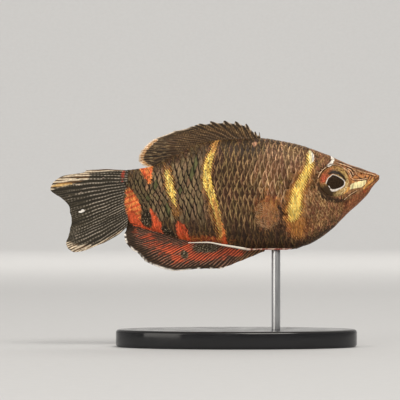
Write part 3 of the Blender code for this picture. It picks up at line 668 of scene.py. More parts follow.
# %% Skin
SKIN_SIDES = 288
HEAD_RINGS, GILL_RINGS, BODY_RINGS = 175, 60, 83
HEAD_END, GILL_END = 12, 20
head_rings = HEAD_END * (np.arange(1, HEAD_RINGS + 1) / HEAD_RINGS) ** 1.5
body_rings = (np.linspace(HEAD_END, GILL_END, GILL_RINGS + 1)[1:],
              np.linspace(GILL_END, SKIN_END, BODY_RINGS + 1)[1:])
ring_b, ring_v = np.meshgrid(np.concatenate([head_rings, *body_rings]), np.arange(SKIN_SIDES) / SKIN_SIDES,
                             indexing="ij")
skin_above = height_at(ring_b, ring_v)
skin_points = on_body(ring_b, ring_v, relief(ring_b, skin_above) - coat_depth(ring_b))
# The tip of the nose is one point more, which takes the marks of the first one.
nose_tip = skin_points[0].mean(0) + (0.02, 0, 0)
first_ring = np.arange(SKIN_SIDES)
last_ring = first_ring[None, ::-1] + ring_b.size - SKIN_SIDES
skin = new_piece("skin", np.vstack([skin_points.reshape(-1, 3), nose_tip]),
                 grid_faces(*ring_b.shape, wrap=True), fan(ring_b.size, first_ring), last_ring)
keep(skin, **markings(ring_b, skin_above), green=0, pink=0)

# %% [markdown]
# ## Skin and scale paint
# A museum model is cast in resin and painted, then varnished to a satin gloss. Skin and scales share one
# set of colours: each marking has a colour for the middle of a scale and one for its free edge, which make
# the net that the fish shows. The layers go on one after another, each with its own stored number, and
# noise of about 0.25 to 3 mm breaks up their edges as a fine brush would.

# %% Paint layers
# Each layer: its marking, the middle of a scale, the free edge, and how far the brush hatches its border.
GROUND = (
    ("pale", "#64492a", "#cca87a", 0.0),
    ("head", "#6e4c2c", "#bc9260", 0.0),
    ("rear", "#857150", "#20170e", 0.0),
    ("stalk", "#6c5c3e", "#20170e", 0.0),
    ("green", "#6b6842", "#2a2818", 0.0),
    ("pink", "#a0845a", "#33241a", 0.0),
    # deep is painted shade, darker towards the belly, the back and the nape.
    ("deep", "#392a1b", "#6a5232", 0.0),
    ("warm", "#663c20", "#a46c40", 0.0),
    ("rust", "#84482a", "#a8622e", 0.0),
    ("gold", "#a86f3c", "#d49c58", 0.0),
    ("shadow", "#382818", "#503a24", 0.1),
)
MARKS = (
    ("fringe", "#9a622e", "#c88a46", 0.7),
    ("orange", "#ec8446", "#f69850", 0.3),
    ("yellow", "#f4c85c", "#ffea8a", 0.75),
    ("streak", "#de9f54", "#e8b064", 0.2),
    ("cream", "#fbecb2", "#fbecb2", 0.15),
    ("red", "#d0502c", "#e4683c", 0.3),
    ("dark", "#221a10", "#3b3020", 0.1),
    # Painted shade in the grooves of the head's folds and the mouth, with the snout's own dark lines.
    ("furrow", "#3e2316", "#3e2316", 0.0),
    ("line", "#e0be98", "#e0be98", 0.0),
    ("white", "#f8efe2", "#f8efe2", 0.0),
    ("olive", "#80682c", "#a08840", 0.2),
    ("fleck", "#c8906c", "#e0b090", 0.0),
)
BODY_MIDDLE, BODY_EDGE = "#3e2b1a", "#a58658"
# Dots on a marking: which one, their colour, and the limits of the noise that makes them.
DOTS = (("speckled", "#7e4c20", 0.54, 0.62), ("red", "#9c3c22", 0.54, 0.7), ("dark", "#a8967a", 0.6, 0.66))
WISPS = (("cheek", "#c09a6c", 0.54, 0.64), ("warm", "#c08452", 0.54, 0.7), ("rust", "#c87c3e", 0.5, 0.62))
HATCH_PITCH = 0.36
HATCH_LEAN = math.radians(38)
SQUIGGLE_LEAN = math.radians(-35)
PER_MM = 1 / MM


# %% Layers and dots
def laid_over(add, colours, layers, shift, hatch):
    """Lays layers over the colours of middle and edge, by stored numbers roughened with noise and hatch."""
    for name, *codes, feather in layers:
        rough = add("ADD", name, shift)
        if feather:
            rough = add("ADD", rough, add("MULTIPLY_ADD", hatch, feather, -feather / 2))
        factor = add("MapRange", rough, 0.3, 0.7, interpolation_type="SMOOTHSTEP")
        factor = add("MULTIPLY", factor, add("MULTIPLY", name, 5.0, use_clamp=True))
        colours = [add("Mix", factor, under, code) for under, code in zip(colours, codes)]
    return colours


def dotted(add, tone, where, mark, code, low, high):
    """Puts small dots of one colour on a tone: where a noise lies over its limits, times a stored mark."""
    cut = add("MapRange", where, low, high, 0, 0.85)
    return add("Mix", add("MULTIPLY", cut, mark), tone, code)


# %% Paint
def paint(add, edge, grain_strength, tint=0.5):
    """The colour of skin or scales: the ground, its hue turned a little, and the markings over it."""
    place = add("TexCoord")
    fine, wander, patches, dots = (
        add("TexNoise", place, Scale=scale * PER_MM, Detail=detail)
        for scale, detail in ((3.2, 3.0), (1.1, 1.0), (0.35, 2.0), (4.2, 1.0))
    )
    tall = add("Mapping", place, Scale=(1.0, 1.0, 0.22))
    hairs = add("TexNoise", tall, Scale=3.6 * PER_MM, Detail=2.0)
    leaning = add("Mapping", place, Rotation=(0.0, HATCH_LEAN, 0.0))
    hatch = add("TexWave", leaning, Distortion=3.0, Detail=2.0, Scale=TAU / (20 * HATCH_PITCH) * PER_MM)
    wisps = add("Mapping", place, Rotation=(0.0, SQUIGGLE_LEAN, 0.0), Scale=(1.0, 1.0, 4.0),
                vector_type="TEXTURE")
    wisps = add("TexNoise", wisps, Scale=4.0 * PER_MM, Detail=1.0, Distortion=0.4)
    shift = add("MULTIPLY_ADD", wander, 0.9, add("MULTIPLY_ADD", fine, 0.7, -0.35))
    shift = add("SUBTRACT", shift, 0.45)
    hue = add("ADD", add("MULTIPLY_ADD", tint, 0.024, -0.012), add("MapRange", fine, 0.35, 0.65, 0.482, 0.5))
    colours = laid_over(add, (BODY_MIDDLE, BODY_EDGE), GROUND, shift, hatch)
    colours = [add("HueSaturation", Color=colour, Hue=hue) for colour in colours]
    both = add("Mix", edge, *laid_over(add, colours, MARKS, shift, hatch))
    for noise, rows in ((dots, DOTS), (wisps, WISPS)):
        for row in rows:
            both = dotted(add, both, noise, *row)
    tone = add("MapRange", hairs, 0.3, 0.7, 1 - grain_strength, 1 + grain_strength)
    value = add("MULTIPLY", tone, add("MapRange", patches, 0.3, 0.7, 0.85, 1.15))
    return add("HueSaturation", Color=both, Value=value), hairs


# %% Skin material
# Painted resin under satin varnish: a soft sheen, with the fine tooth of the paint in its bump.
VARNISH = {"Coat_Weight": 0.05, "Coat_Roughness": 0.3, "Specular_IOR_Level": 0.18}
skin_paint, add, shade = new_material("satin varnished skin paint", Roughness=0.55, **VARNISH)
colour, hairs = paint(add, 0.4, 0.5)
shade(Base_Color=colour, Normal=add("Bump", Height=hairs, Strength=0.5, Distance=0.05 * MM))
finish_piece(skin, skin_paint, "skin", "head", "lower_jaw", "gill_cover_right", "gill_cover_left", "torso",
             "tail_stalk")

# %% [markdown]
# ## The scales
# About thirty scales lie in a row from the gill cover to the tail, each covering the front of the next,
# with every second row set back by half a scale. Only a tall narrow diamond of each shows. On the head
# they are smaller. Every scale is a small closed plate of a few dozen faces: its root is sunk in the skin
# and its round free edge stands off it. All of them are bent over the body at once, from one array.

# %% Scale layout
SCALE_ALONG = np.array([0, 0.4, 0.68, 0.85, 0.94, 1.0])
SCALE_ACROSS = np.linspace(-1, 1, 7)
SCALE_MIDDLE = (2, 3)
EDGE_CURVE = 0.5
SCALE_REACH = 2.04
SCALE_LIFTS = (-0.04, 0.13)
SCALE_DOME, SCALE_KEEL = 0.03, 0.12
NARROW_ROOT, OVERLAP = 0.25, 1.03
PLACE_LUCK, LENGTH_LUCK, LIFT_LUCK = 0.035, 0.035, 0.01
GREEN_SHARE, PINK_SHARE = 0.028, 0.05
BAKE_PATCH = 0.003
rng = np.random.default_rng(7)


def spaced(knots, start, end):
    """Turns a number of scales along a row into millimetres behind the snout, for a changing spacing."""
    fine = np.linspace(start, end, 600)
    counted = np.append(0, np.cumsum(np.diff(fine) / smooth_line(knots)(fine[1:])))
    return counted[-1], lambda count: np.interp(count, counted, fine)


def scale_field(spacing, start, end, rows, bow, wanted):
    """The roots of the scales that are wanted, and a function from scale counts to the body's surface.

    The columns of scales bow back on the flanks, by the square of the sine round the body.
    """
    total, to_behind = spaced(spacing, start, end)
    count, row = np.meshgrid(np.arange(0, int(total) - 1), np.arange(2 * rows), indexing="ij")
    count = (count + 0.5 * (row % 2)).ravel() + rng.normal(0, PLACE_LUCK, count.size)
    place = row.ravel() / (2 * rows)

    def surface(count, place):
        behind = to_behind(count)
        return behind + bow * (np.sin(TAU * place) ** 2 - 0.5) * ease(behind, 48, 40)

    behind = surface(count + 1.0, place)
    chosen = wanted(behind, height_at(behind, place))
    return count[chosen], place[chosen], surface


# %% Plates of the scales
def set_bake_map(piece, flat):
    """Gives a piece the map for baking, from one (u, v) to a point."""
    corner = np.empty(len(piece.data.loops), np.int32)
    piece.data.loops.foreach_get("vertex_index", corner)
    bake_map = piece.data.uv_layers.new(name="OFBake")
    bake_map.uv.foreach_set("vector", flat[corner].astype(np.float32).ravel())


def build_scales(name, part, count, place, surface, rows, size):
    """Closed plates over the body, one per root, with a number for how far along each a point lies."""
    along_, across = np.meshgrid(SCALE_ALONG, SCALE_ACROSS, indexing="ij")
    each = len(count), 1, 1
    length = (SCALE_REACH - EDGE_CURVE * across**2) * rng.normal(1, LENGTH_LUCK, each)
    counts = count.reshape(each) + along_ * length
    narrow = 1 - NARROW_ROOT * (1 - along_) ** 2
    places = place.reshape(each) + across * narrow * OVERLAP / (2 * rows)
    behind = surface(counts, places)
    above = height_at(behind, places)
    low, high = SCALE_LIFTS
    rise = low + (high - low) * along_**1.1 - SCALE_DOME * across**2 * along_
    rise = rise + rng.normal(0, LIFT_LUCK, each) * along_
    lift = relief(behind, above, part) - coat_depth(behind) + rise * size

    def with_under(values):
        """Numbers of the grids, one row to a scale, and after them that of the point under its middle."""
        grid = np.broadcast_to(values, behind.shape)
        return np.hstack([grid.reshape(len(count), -1), grid[:, *SCALE_MIDDLE][:, None]])

    depth = with_under(0 * lift)
    depth[:, -1] = SCALE_KEEL * size
    points = on_body(with_under(behind), with_under(places), with_under(lift) - depth)
    first = np.arange(len(count))[:, None, None] * (along_.size + 1)
    quads = grid_faces(*along_.shape)[:, ::-1] + first
    under = fan(along_.size, rim_of(*along_.shape)) + first
    piece = new_piece(name, points, quads.reshape(-1, 4), under.reshape(-1, 3))
    marks = markings(behind, above)
    tint = rng.random(each)
    green, pink = (tint > 1 - GREEN_SHARE) * marks["rear"], (tint < PINK_SHARE) * marks["rear"]
    downward = across * np.where(place <= 0.5, 1, -1).reshape(each)
    numbers = {"along": along_, "downward": downward, "tint": tint, "green": green, "pink": pink, **marks}
    keep(piece, **{mark: with_under(values) for mark, values in numbers.items()})
    # In the map for baking each scale has a small patch of its own, where its root lies on the flat body.
    root_u, root_v = 0.01 + 0.98 * surface(count, place) / 50, 0.005 + 0.99 * place
    flat = [with_under(root_u.reshape(each) + BAKE_PATCH * along_),
            with_under(root_v.reshape(each) + BAKE_PATCH * across / 2)]
    set_bake_map(piece, np.stack(flat, -1).reshape(-1, 2))
    return piece


# %% Scale material
# The same satin paint, with a pearly coat: real scales shine more than the skin between them, and the
# growth rings of 0.04 mm, drawn here at 0.1 mm so that they can show, catch the light.
RINGS_ON_SCALE = 20.69
scale_paint, add, shade = new_material("pearly varnished scale paint", Roughness=0.52, **VARNISH)
tall, taller = (add("Mapping", add("TexCoord"), Scale=(1.0, 1.0, squeeze)) for squeeze in (0.45, 0.3))
ragged = add("TexNoise", taller, Scale=4.6 * PER_MM, Detail=2.0)
faint = add("TexNoise", tall, Scale=1.5 * PER_MM, Detail=1.0)
leaning = add("MULTIPLY_ADD", add("MULTIPLY", "downward", "rear"), 0.06, "along")
edge = add("MapRange", add("MULTIPLY_ADD", ragged, 0.3, leaning), 1.0, 1.08)
edge = add("MAXIMUM", edge, add("MapRange", ragged, 0.55, 0.66, 0, 0.6))
faint = add("MAXIMUM", add("MapRange", faint, 0.36, 0.6, 0.42, 1.0), "rear")
colour, hairs = paint(add, add("MULTIPLY", edge, faint), 0.42, "tint")
light = add("MapRange", add("FRACT", add("MULTIPLY", "tint", 7.31)), 0, 1, 0.74, 1.28)
growth = add("SINE", add("MULTIPLY", "along", TAU * RINGS_ON_SCALE))
shade(Base_Color=add("HueSaturation", Color=colour, Value=light),
      Normal=add("Bump", Height=growth, Strength=0.25, Distance=0.01 * MM))

# %% Scales of the body and of the head
BODY_ROWS = 13
BODY_SPACING = ((12, 0.9), (17, 0.97), (24, 0.99), (34, 0.97), (42, 0.86), (48, 0.7))
HEAD_ROWS = 30
HEAD_SPACING = ((4, 0.42), (8, 0.5), (14, 0.62), (18, 0.66))


def on_the_body(behind, above):
    """Wanted on the body: behind the gill cover and in front of the tail's rays."""
    return (ahead_of_gill_edge(behind, above) < 0.25) & (behind_tail_edge(behind, above) < -0.4)


def on_the_head(behind, above):
    """Wanted on the head: clear of the eye, the folds over it, the snout and the gill cover's edge."""
    clear = [from_eye(behind + off, above) > gap for off, gap in ((-0.4, 3.1), (0.0, 3.3), (0.55, 3.15))]
    brow = (behind < 8.8) & (above > EYE_CENTRE[1])
    cheek = (behind + 0.35 * above > 4.6) & (behind > 5.6)
    return (ahead_of_gill_edge(behind, above) > 0.6) & np.all(clear, axis=0) & ~brow & cheek


for part, spacing, start, end, rows, bow, wanted, size in (
    ("body", BODY_SPACING, 9.5, 49.0, BODY_ROWS, 0.7, on_the_body, 1.0),
    ("head", HEAD_SPACING, 4.0, 19.0, HEAD_ROWS, 1.2, on_the_head, 0.55),
):
    counts, places, surface = scale_field(spacing, start, end, rows, bow, wanted)
    for side, chosen in (("right", places <= 0.5), ("left", places > 0.5)):
        roots = counts[chosen], places[chosen]
        piece = build_scales(f"{part}_scales_{side}", part, *roots, surface, rows, size)
        finish_piece(piece, scale_paint, "skin")
        print(len(roots[0]), "scales")

# %% [markdown]
# ## The eyes
# Each eye is a flattened ball in its hollow, turned a little up and forwards as the side of the head is.
# The dark pupil has a thin bright ring, open at the rear, and the iris is red behind, gold in front and
# above, and painted shade darkens it below and in a band above the ring. Real eyes are wet and clear in
# front, so the paint lies under a glossy coat.

# %% Sizes and marks of the eye
EYE_BALL = (3.0, 1.32)
EYE_BULGE = 0.42
EYE_TILT_UP, EYE_TILT_FORWARD = math.radians(9), math.radians(8)
# The bright ring as (behind, above, half width), from its upper end at the rear round the front and under.
PUPIL_RING = ((9.89, -0.84, 0.06), (9.74, -0.36, 0.07), (9.47, 0.16, 0.06), (9.06, 0.47, 0.05),
              (8.69, 0.77, 0.045), (8.22, 0.68, 0.04), (7.38, 0.26, 0.045), (6.75, -0.16, 0.06),
              (6.46, -0.57, 0.09), (6.54, -1.1, 0.1), (6.96, -1.52, 0.12), (7.59, -1.83, 0.15),
              (8.22, -2.06, 0.2), (8.75, -2.1, 0.2), (9.06, -1.86, 0.1))
RING_SPECK = ((9.4, -1.3, 0.07), (9.2, -1.6, 0.06))
# Painted shade: a dark band over the iris just above the pupil's ring.
SHADE_BAND_ABOVE_PUPIL = ((9.4, 0.9, 0.2), (8.6, 1.25, 0.35), (7.6, 1.05, 0.35), (6.8, 0.45, 0.3), (6.25, -0.2, 0.15))
PUPIL_CENTRE = (8.15, -0.72)


def eye_marks(behind, above):
    """Pupil, ring and iris colours on an eye, from millimetres behind and above the snout's tip."""
    def polar(behind, above):
        """Angle from straight ahead upwards, and distance, seen from the middle of the pupil."""
        ahead, up = PUPIL_CENTRE[0] - behind, above - PUPIL_CENTRE[1]
        return np.arctan2(up, ahead), np.hypot(ahead, up)

    def towards(degrees, width):
        """A bell of the angle, as wide as given, in degrees."""
        return hump(np.angle(np.exp(1j * (angle - math.radians(degrees)))), 0, math.radians(width))

    rounded = along(PUPIL_RING, 60)
    line_angle, line_radius = polar(*np.vstack([rounded, RING_SPECK[::-1]])[:, :2].T)
    angle, radius = polar(behind, above)
    order = np.argsort(line_angle)
    inside = np.interp(angle, line_angle[order], line_radius[order], period=TAU) - radius
    rim = from_eye(behind, above) / EYE_OPENING
    arcs = ripple(rim / 0.13 + 0.191 * np.sin(2 * angle))
    return {
        "russet": np.clip(towards(128, 34) * 1.4, 0, 1) * ease(rim, 0.3, 0.6),
        "bright": towards(-24, 50) * ease(-inside, 0.1, 0.4),
        "arcs": arcs * towards(85, 60) * ease(rim, 0.5, 0.7),
        # Painted shade over the upper iris, along the band above the ring.
        "lid": painted(stroke(SHADE_BAND_ABOVE_PUPIL, behind, above), 0.15),
        "shade": np.clip(1.5 * towards(228, 40), 0, 1),
        "red": np.clip(1.5 * towards(163, 17), 0, 1) * ease(-inside, 0.05, 0.3) * ease(rim, 1.02, 0.9),
        "rim": hump(rim, 0.97, 0.05) * towards(110, 60),
        "pupil": painted(inside, 0.05),
        "ring": painted(deepest((rounded, RING_SPECK), behind, above), 0.03),
    }


# %% Iris material
# Painted iris under clear gloss resin: the coat gives the wet highlight, the bump lies only under it.
# Each mark has the colour of its grains and that of the ground between them.
# Of these, lid and shade are painted shade: the band above the ring and the dark lower rear of the iris.
IRIS_MARKS = (("russet", "#bc6440", "#743a26"), ("bright", "#fbe0a8", "#c4924e"),
              ("arcs", "#a07c40", "#6a4c26"), ("lid", "#36271a", "#241a12"), ("shade", "#3c2c1c", "#503d29"),
              ("red", "#d86a48", "#84402a"), ("rim", "#b08450", "#80502e"), ("pupil", "#362718", "#2a1c0e"),
              ("ring", "#f2e6da", "#f2e6da"))
iris_paint, add, shade = new_material("iris paint under clear gloss resin", Roughness=0.5, Coat_Weight=0.08,
                                      Coat_Roughness=0.1, Coat_IOR=1.38, Specular_IOR_Level=0.1)
fine = add("TexNoise", add("TexCoord"), Scale=4.0 * PER_MM, Detail=3.0)
grains = add("MapRange", fine, 0.35, 0.65)
tone = add("Mix", grains, "#72502e", "#eac47a")
for name, code, freckle in IRIS_MARKS:
    tone = add("Mix", name, tone, add("Mix", grains, freckle, code))
shade(Base_Color=add("HueSaturation", Color=tone, Value=add("MapRange", fine, 0.3, 0.7, 0.8, 1.15)),
      Normal=add("Bump", Height=fine, Strength=0.4, Distance=0.05 * MM))

# %% Eyeballs
SIDES = (("right", -1), ("left", 1))
EYE_SIDES = 160
latitude = np.concatenate([np.linspace(0.012, 1.25, 78), np.linspace(1.3, math.pi - 0.05, 22)])
lat, lon = np.meshgrid(latitude, turns(EYE_SIDES), indexing="ij")
front, up = EYE_BALL[0] * np.sin(lat) * np.cos(lon), EYE_BALL[0] * np.sin(lat) * np.sin(lon)
out = EYE_BALL[1] * np.cos(lat) + 0.08 * np.exp(-(np.hypot(front - 0.25, up + 0.27) / 1.7) ** 4)
tilted = math.cos(EYE_TILT_FORWARD) * math.cos(EYE_TILT_UP)
eye_ring = np.arange(EYE_SIDES)
eye_ends = fan(lat.size, eye_ring), fan(lat.size + 1, eye_ring[::-1] + lat.size - EYE_SIDES)
for name, side in SIDES:
    axis = np.array([math.sin(EYE_TILT_FORWARD), side * tilted, math.sin(EYE_TILT_UP)])
    axis /= np.linalg.norm(axis)
    ahead = np.array([1.0, 0, 0]) - axis[0] * axis
    ahead /= np.linalg.norm(ahead)
    upward = np.cross(axis, ahead) * -side
    across = side * (float(side_of_body(*EYE_CENTRE)) + EYE_BULGE - EYE_BALL[1])
    centre = SNOUT_X - EYE_CENTRE[0], across, SNOUT_Z + EYE_CENTRE[1]
    ball = centre + front[..., None] * ahead + up[..., None] * upward + out[..., None] * axis
    points = np.vstack([ball.reshape(-1, 3), ball[0].mean(0), ball[-1].mean(0)])
    eye = new_piece(f"eyeball_{name}", points, grid_faces(*lat.shape, wrap=True), *eye_ends)
    keep(eye, **eye_marks(SNOUT_X - points[:, 0], points[:, 2] - SNOUT_Z))
    finish_piece(eye, iris_paint, "eye", f"eye_{name}")

# %% [markdown]
# ## The fins
# A fin is a thin membrane held by rays. The first rays of the dorsal and anal fins are spines, whose tips
# stand free; the others are soft, made of short segments, and fork towards the margin. Each fin is one
# closed plate of two grids: rays run from root to tip, and the thickness and the colour both follow how
# near a point lies to a ray. Modelling each ray apart would leave seams, and a bump alone would leave the
# plate flat.

# %% Rays and plates
def near_ray(place, out, forks, half=0.15):
    """How near a point is to a ray, 0 to 1: the distance to the nearest ray is folded at each fork.

    place counts rays; each fork is (way out where it starts, where it ends, how far the branches part).
    """
    off = np.abs(place - np.round(place))
    for start, end, part in forks:
        parted = ease(out, start, end)
        off = np.abs(off - part * parted)
        half = half * (1 - 0.4 * parted)
    return np.exp(-((off / half) ** 2))


def segments(place, way, every, seed):
    """The joints of the rays: a raised cosine along each branch, shifted from one to the next."""
    branch = np.floor(place * 4 + 0.5).astype(int)
    shifts = np.random.default_rng(seed).random(branch.max() + 1)
    lengths = np.random.default_rng(seed + 1).uniform(0.8, 1.3, branch.max() + 1)
    return ripple(way / (every * lengths[branch]) + shifts[branch])


def margin_curve(points, spread=lambda share: share):
    """Tip points by share of the fin, from its margin and a function that spaces the tips along it."""
    curve = along(points, 240)
    return lambda share: read_line(curve, np.linspace(0, 1, len(curve)), spread(share))


# %% Paths of the rays
WAVER_LENGTH = 3.5
TIP_LUCK = 0.1


def ray_paths(root, tip, rays, share, out, notch, bow, waver, luck):
    """How far behind and above the snout's tip each point of a fin's grid lies, and the lines' lengths.

    Real rays are never ruled lines: each wavers by a small sine with a start of its own, and ends a little
    before or after its neighbours. Between two tips the membrane falls short by its notch.
    """
    counted = share * (rays - 1)
    start, end = root(share), tip(share)
    way = (end - start) / np.linalg.norm(end - start, axis=1)[:, None]
    uneven = np.interp(counted, np.arange(rays), luck.normal(0, TIP_LUCK, rays))
    starts = np.interp(counted, np.arange(rays), luck.uniform(0, 0.7, rays))[:, None]
    between = 1 - near_ray(counted, np.ones_like(share), (), 0.22)
    end = end + way * (uneven - notch(share) * between)[:, None]
    lengths = np.linalg.norm(end - start, axis=1)[:, None]
    aside = waver * np.sin(TAU * (out * lengths / WAVER_LENGTH + starts)) * ease(out, 0.0, 0.3)
    if bow is not None:
        aside = aside + bow(share)[:, None] * 4 * out * (1 - out)
    aside = aside * ease(out, 1.0, 0.85)
    behind, above = (start[:, None] + (end - start)[:, None] * out[None, :, None]).transpose(2, 0, 1)
    return behind - aside * way[:, 1:], above + aside * way[:, :1], lengths


# %% Plate of a fin
def fin_piece(name, root, tip, rays, rows, per_ray, forks, thick, seat, notch, bow=None, across=None,
              sway=0.0, every=0.42, seed=1, waver=0.05):
    """A fin as one closed plate, and the shares, places and numbers of its points.

    thick holds half thicknesses: membrane, ray at its root, margin and root of the plate. notch gives how
    far the membrane falls short between two tips, in millimetres, by share. The rays' branches differ in
    brightness.
    """
    share = np.linspace(0, 1, (rays - 1) * per_ray + 1)
    out = np.linspace(0, 1, rows) ** 0.9
    place, grid_out = np.meshgrid(share * (rays - 1), out, indexing="ij")
    grid_share = share[:, None] + 0 * grid_out
    luck = np.random.default_rng(seed)
    behind, above, lengths = ray_paths(root, tip, rays, share, out, notch, bow, waver, luck)
    way_out = grid_out * lengths
    ridge, segment = near_ray(place, grid_out, forks), segments(place, way_out, every, seed)
    membrane, ray, margin, base = thick
    taper = 1 - grid_out**1.5
    half = margin + (membrane - margin) * taper + ridge * (ray - membrane) * taper * (0.75 + 0.25 * segment)
    half = half + (base - half) * np.clip(1 - grid_out / seat, 0, 1) ** 2
    middle = sway * grid_out**2 * np.sin(TAU * 1.4 * share[:, None] + seed)
    if across is not None:
        middle = middle + across(behind, above, grid_out)
    points = [np.stack([SNOUT_X - behind, middle + side * half, SNOUT_Z + above], -1) for side in (-1, 1)]
    near, rim = grid_faces(*place.shape), rim_of(*place.shape)
    after = np.roll(rim, -1)
    edge = np.stack([rim, rim + place.size, after + place.size, after], -1)
    piece = new_piece(name, points, near, near[:, ::-1] + place.size, edge)
    spread = np.linalg.norm(tip(share[1:]) - tip(share[:-1]), axis=1).sum()
    brightness = luck.random(2 * rays + 1)[np.floor(place * 2 + 0.5).astype(int)]
    at = SimpleNamespace(share=grid_share, out=grid_out, behind=behind, above=above,
                         gap=(1 - grid_out) * lengths)
    return piece, at, {"ray": ridge, "segment": segment, "across_rays": grid_share * spread,
                       "along_rays": way_out, "brightness": brightness}


# %% [markdown]
# ## Fin paint
# The membrane is thin and dark, and each ray is paler, with a lighter dash on every segment. Red, white
# and dark markings are stored numbers again. Streaks follow the rays, because the noise that makes them is
# read by millimetres across and along the rays instead of by place.

# %% Fin material
def fin_material(name, membrane, ray, dash, layers=(), dash_from=0.85, specks=(), margin="", clear=None):
    """Satin paint on thin resin: membrane, ray and dash colours, markings, pale specks, and the margin.

    clear gives the least and the most that a see-through fin hides: between its rays and on them.
    """
    made, add, shade = new_material(name, Roughness=0.52, Coat_Weight=0.08, Coat_Roughness=0.3,
                                    Specular_IOR_Level=0.25)
    fine, dots = (add("TexNoise", add("TexCoord"), Scale=scale * PER_MM, Detail=detail)
                  for scale, detail in ((2.6, 3.0), (4.2, 1.0)))
    way = add("CombineXYZ", "across_rays", add("MULTIPLY", "along_rays", 0.3))
    streak, blotch = (add("TexNoise", way, Scale=scale, Detail=detail)
                      for scale, detail in ((2.4, 3.0), (0.5, 2.0)))
    lit = add("MULTIPLY_ADD", blotch, 0.9, add("MULTIPLY_ADD", "segment", 0.5, streak))
    lit = add("MapRange", lit, dash_from, dash_from + 0.5)
    bright = add("MULTIPLY", lit, add("MapRange", "ray", 0.3, 0.75))
    tone = add("Mix", bright, add("Mix", "ray", membrane, ray), dash)
    shift = add("MULTIPLY_ADD", streak, 1.8, -0.9)
    broad = add("MapRange", "ray", 0.05, 0.5)
    for mark, dull, lively in layers:
        factor = add("MapRange", add("ADD", mark, shift), 0.35, 0.65)
        tone = add("Mix", factor, tone, add("Mix", broad, dull, lively))
    for mark, code in specks:
        tone = dotted(add, tone, dots, mark, code, 0.58, 0.65)
    if margin:
        tone = add("Mix", "margin", tone, margin)
    differ = add("MapRange", "brightness", 0, 1, 0.78, 1.22)
    value = add("MULTIPLY", add("MapRange", fine, 0.3, 0.7, 0.72, 1.28), differ)
    shade(Base_Color=add("HueSaturation", Color=tone, Value=value),
          Normal=add("Bump", Height=fine, Strength=0.4, Distance=0.03 * MM))
    if clear:
        shade(Alpha=add("MapRange", add("MULTIPLY", "ray", streak), 0.1, 0.6, *clear))
    return made


# %% Roots of the fins
def along_outline(outline, start, end, sunk):
    """Root points that follow the back or the belly, sunk into the body by the given height."""
    def root(share):
        behind = start + (end - start) * share
        return np.stack([behind, outline(behind) - sunk], -1)

    return root


def straight(start, end):
    """Root points on the straight line between two (behind, above) ends."""
    return lambda share: np.outer(1 - share, start) + np.outer(share, end)


ROOT_SUNK = 0.5
FORK_LATE = ((0.45, 0.8, 0.25),)
FORK_EARLY = ((-0.2, 0.06, 0.25),)
FORK_TWICE = ((-0.2, 0.06, 0.25), (0.65, 0.95, 0.12))

# %% Dorsal fin
DORSAL_START, DORSAL_END = 21.5, 37.6
DORSAL_MARGIN = ((21.9, 8.4), (22.7, 8.9), (24.2, 10.0), (26.0, 10.55), (27.9, 10.7), (30.2, 10.6),
                 (32.6, 10.3), (34.6, 9.5), (39.3, 8.0), (41.5, 7.1), (43.0, 5.7), (43.95, 3.9),
                 (43.75, 3.1), (43.1, 2.45), (42.2, 2.05))
DORSAL_RAYS, DORSAL_SPINES = 21, 7
# The way along the margin at which the tips of the spines stand, as measured, and then the last ray's.
DORSAL_TIPS = (0.0, 0.035, 0.105, 0.18, 0.255, 0.345, 0.425)
spiny = (DORSAL_SPINES - 1) / (DORSAL_RAYS - 1)
tips_at = [(k / (DORSAL_RAYS - 1), tip_at) for k, tip_at in enumerate(DORSAL_TIPS)]
dorsal, at, numbers = fin_piece(
    "dorsal_membrane", along_outline(back_line, DORSAL_START, DORSAL_END, ROOT_SUNK),
    margin_curve(DORSAL_MARGIN, smooth_line([*tips_at, (1, 1)])), rays=DORSAL_RAYS, rows=48, per_ray=18,
    forks=FORK_LATE, thick=(0.07, 0.18, 0.04, 0.5), seat=0.28,
    notch=lambda share: np.where(share <= spiny, 0.72, 0.08), sway=0.25, seed=3)
rear_part = ease(at.share, spiny + 0.02, spiny + 0.12)
spine_tip = ease(at.gap, 0.5, 0.2) * numbers["ray"] * (1 - rear_part) * 0.85
edge = ease(at.gap, 0.4, 0.2) * rear_part * 0.9
wide = ease(at.gap, 1.3, 0.6) * rear_part * ease(at.behind, 39.5, 41.2)
net = np.cos(TAU * (at.behind / 0.9 + at.above / 2.0)) * np.cos(TAU * (at.behind / 0.9 - at.above / 2.0))
dashes = ripple(at.above / 0.55 + 0.1 * np.sin(at.behind * 1.6))
broken = 0.5 + 0.5 * np.sin(at.behind * 3.1 + 2.4 * np.floor(at.above / 0.55 + 0.5) ** 2)
keep(dorsal, **numbers, margin=most(edge, spine_tip), tawny=wide * 0.85,
     lower=ease(at.gap, 0.5, 2.4) * (1 - ease(at.behind, 37.5, 40.0)),
     net=ease(np.abs(net), 0.35, 0.1) * ease(at.gap, 0.3, 1.5) * ease(at.behind, 38.5, 36.5) * 0.6,
     dash=dashes * broken * ease(at.behind, 36, 38.5) * ease(at.gap, 0.5, 1.2) * 0.6)
DORSAL_MARKS = (("lower", "#3f2d1c", "#5c432a"), ("net", "#7c6240", "#94774e"),
                ("dash", "#86704e", "#a6906c"), ("tawny", "#b07a48", "#dab486"))
dorsal_paint = fin_material("satin dorsal fin paint", "#33261a", "#4c3a26", "#7c6242", DORSAL_MARKS,
                            specks=(("tawny", "#f4e8d8"),), margin="#e8d4bc")
finish_piece(dorsal, dorsal_paint, "fin", "dorsal_fin")

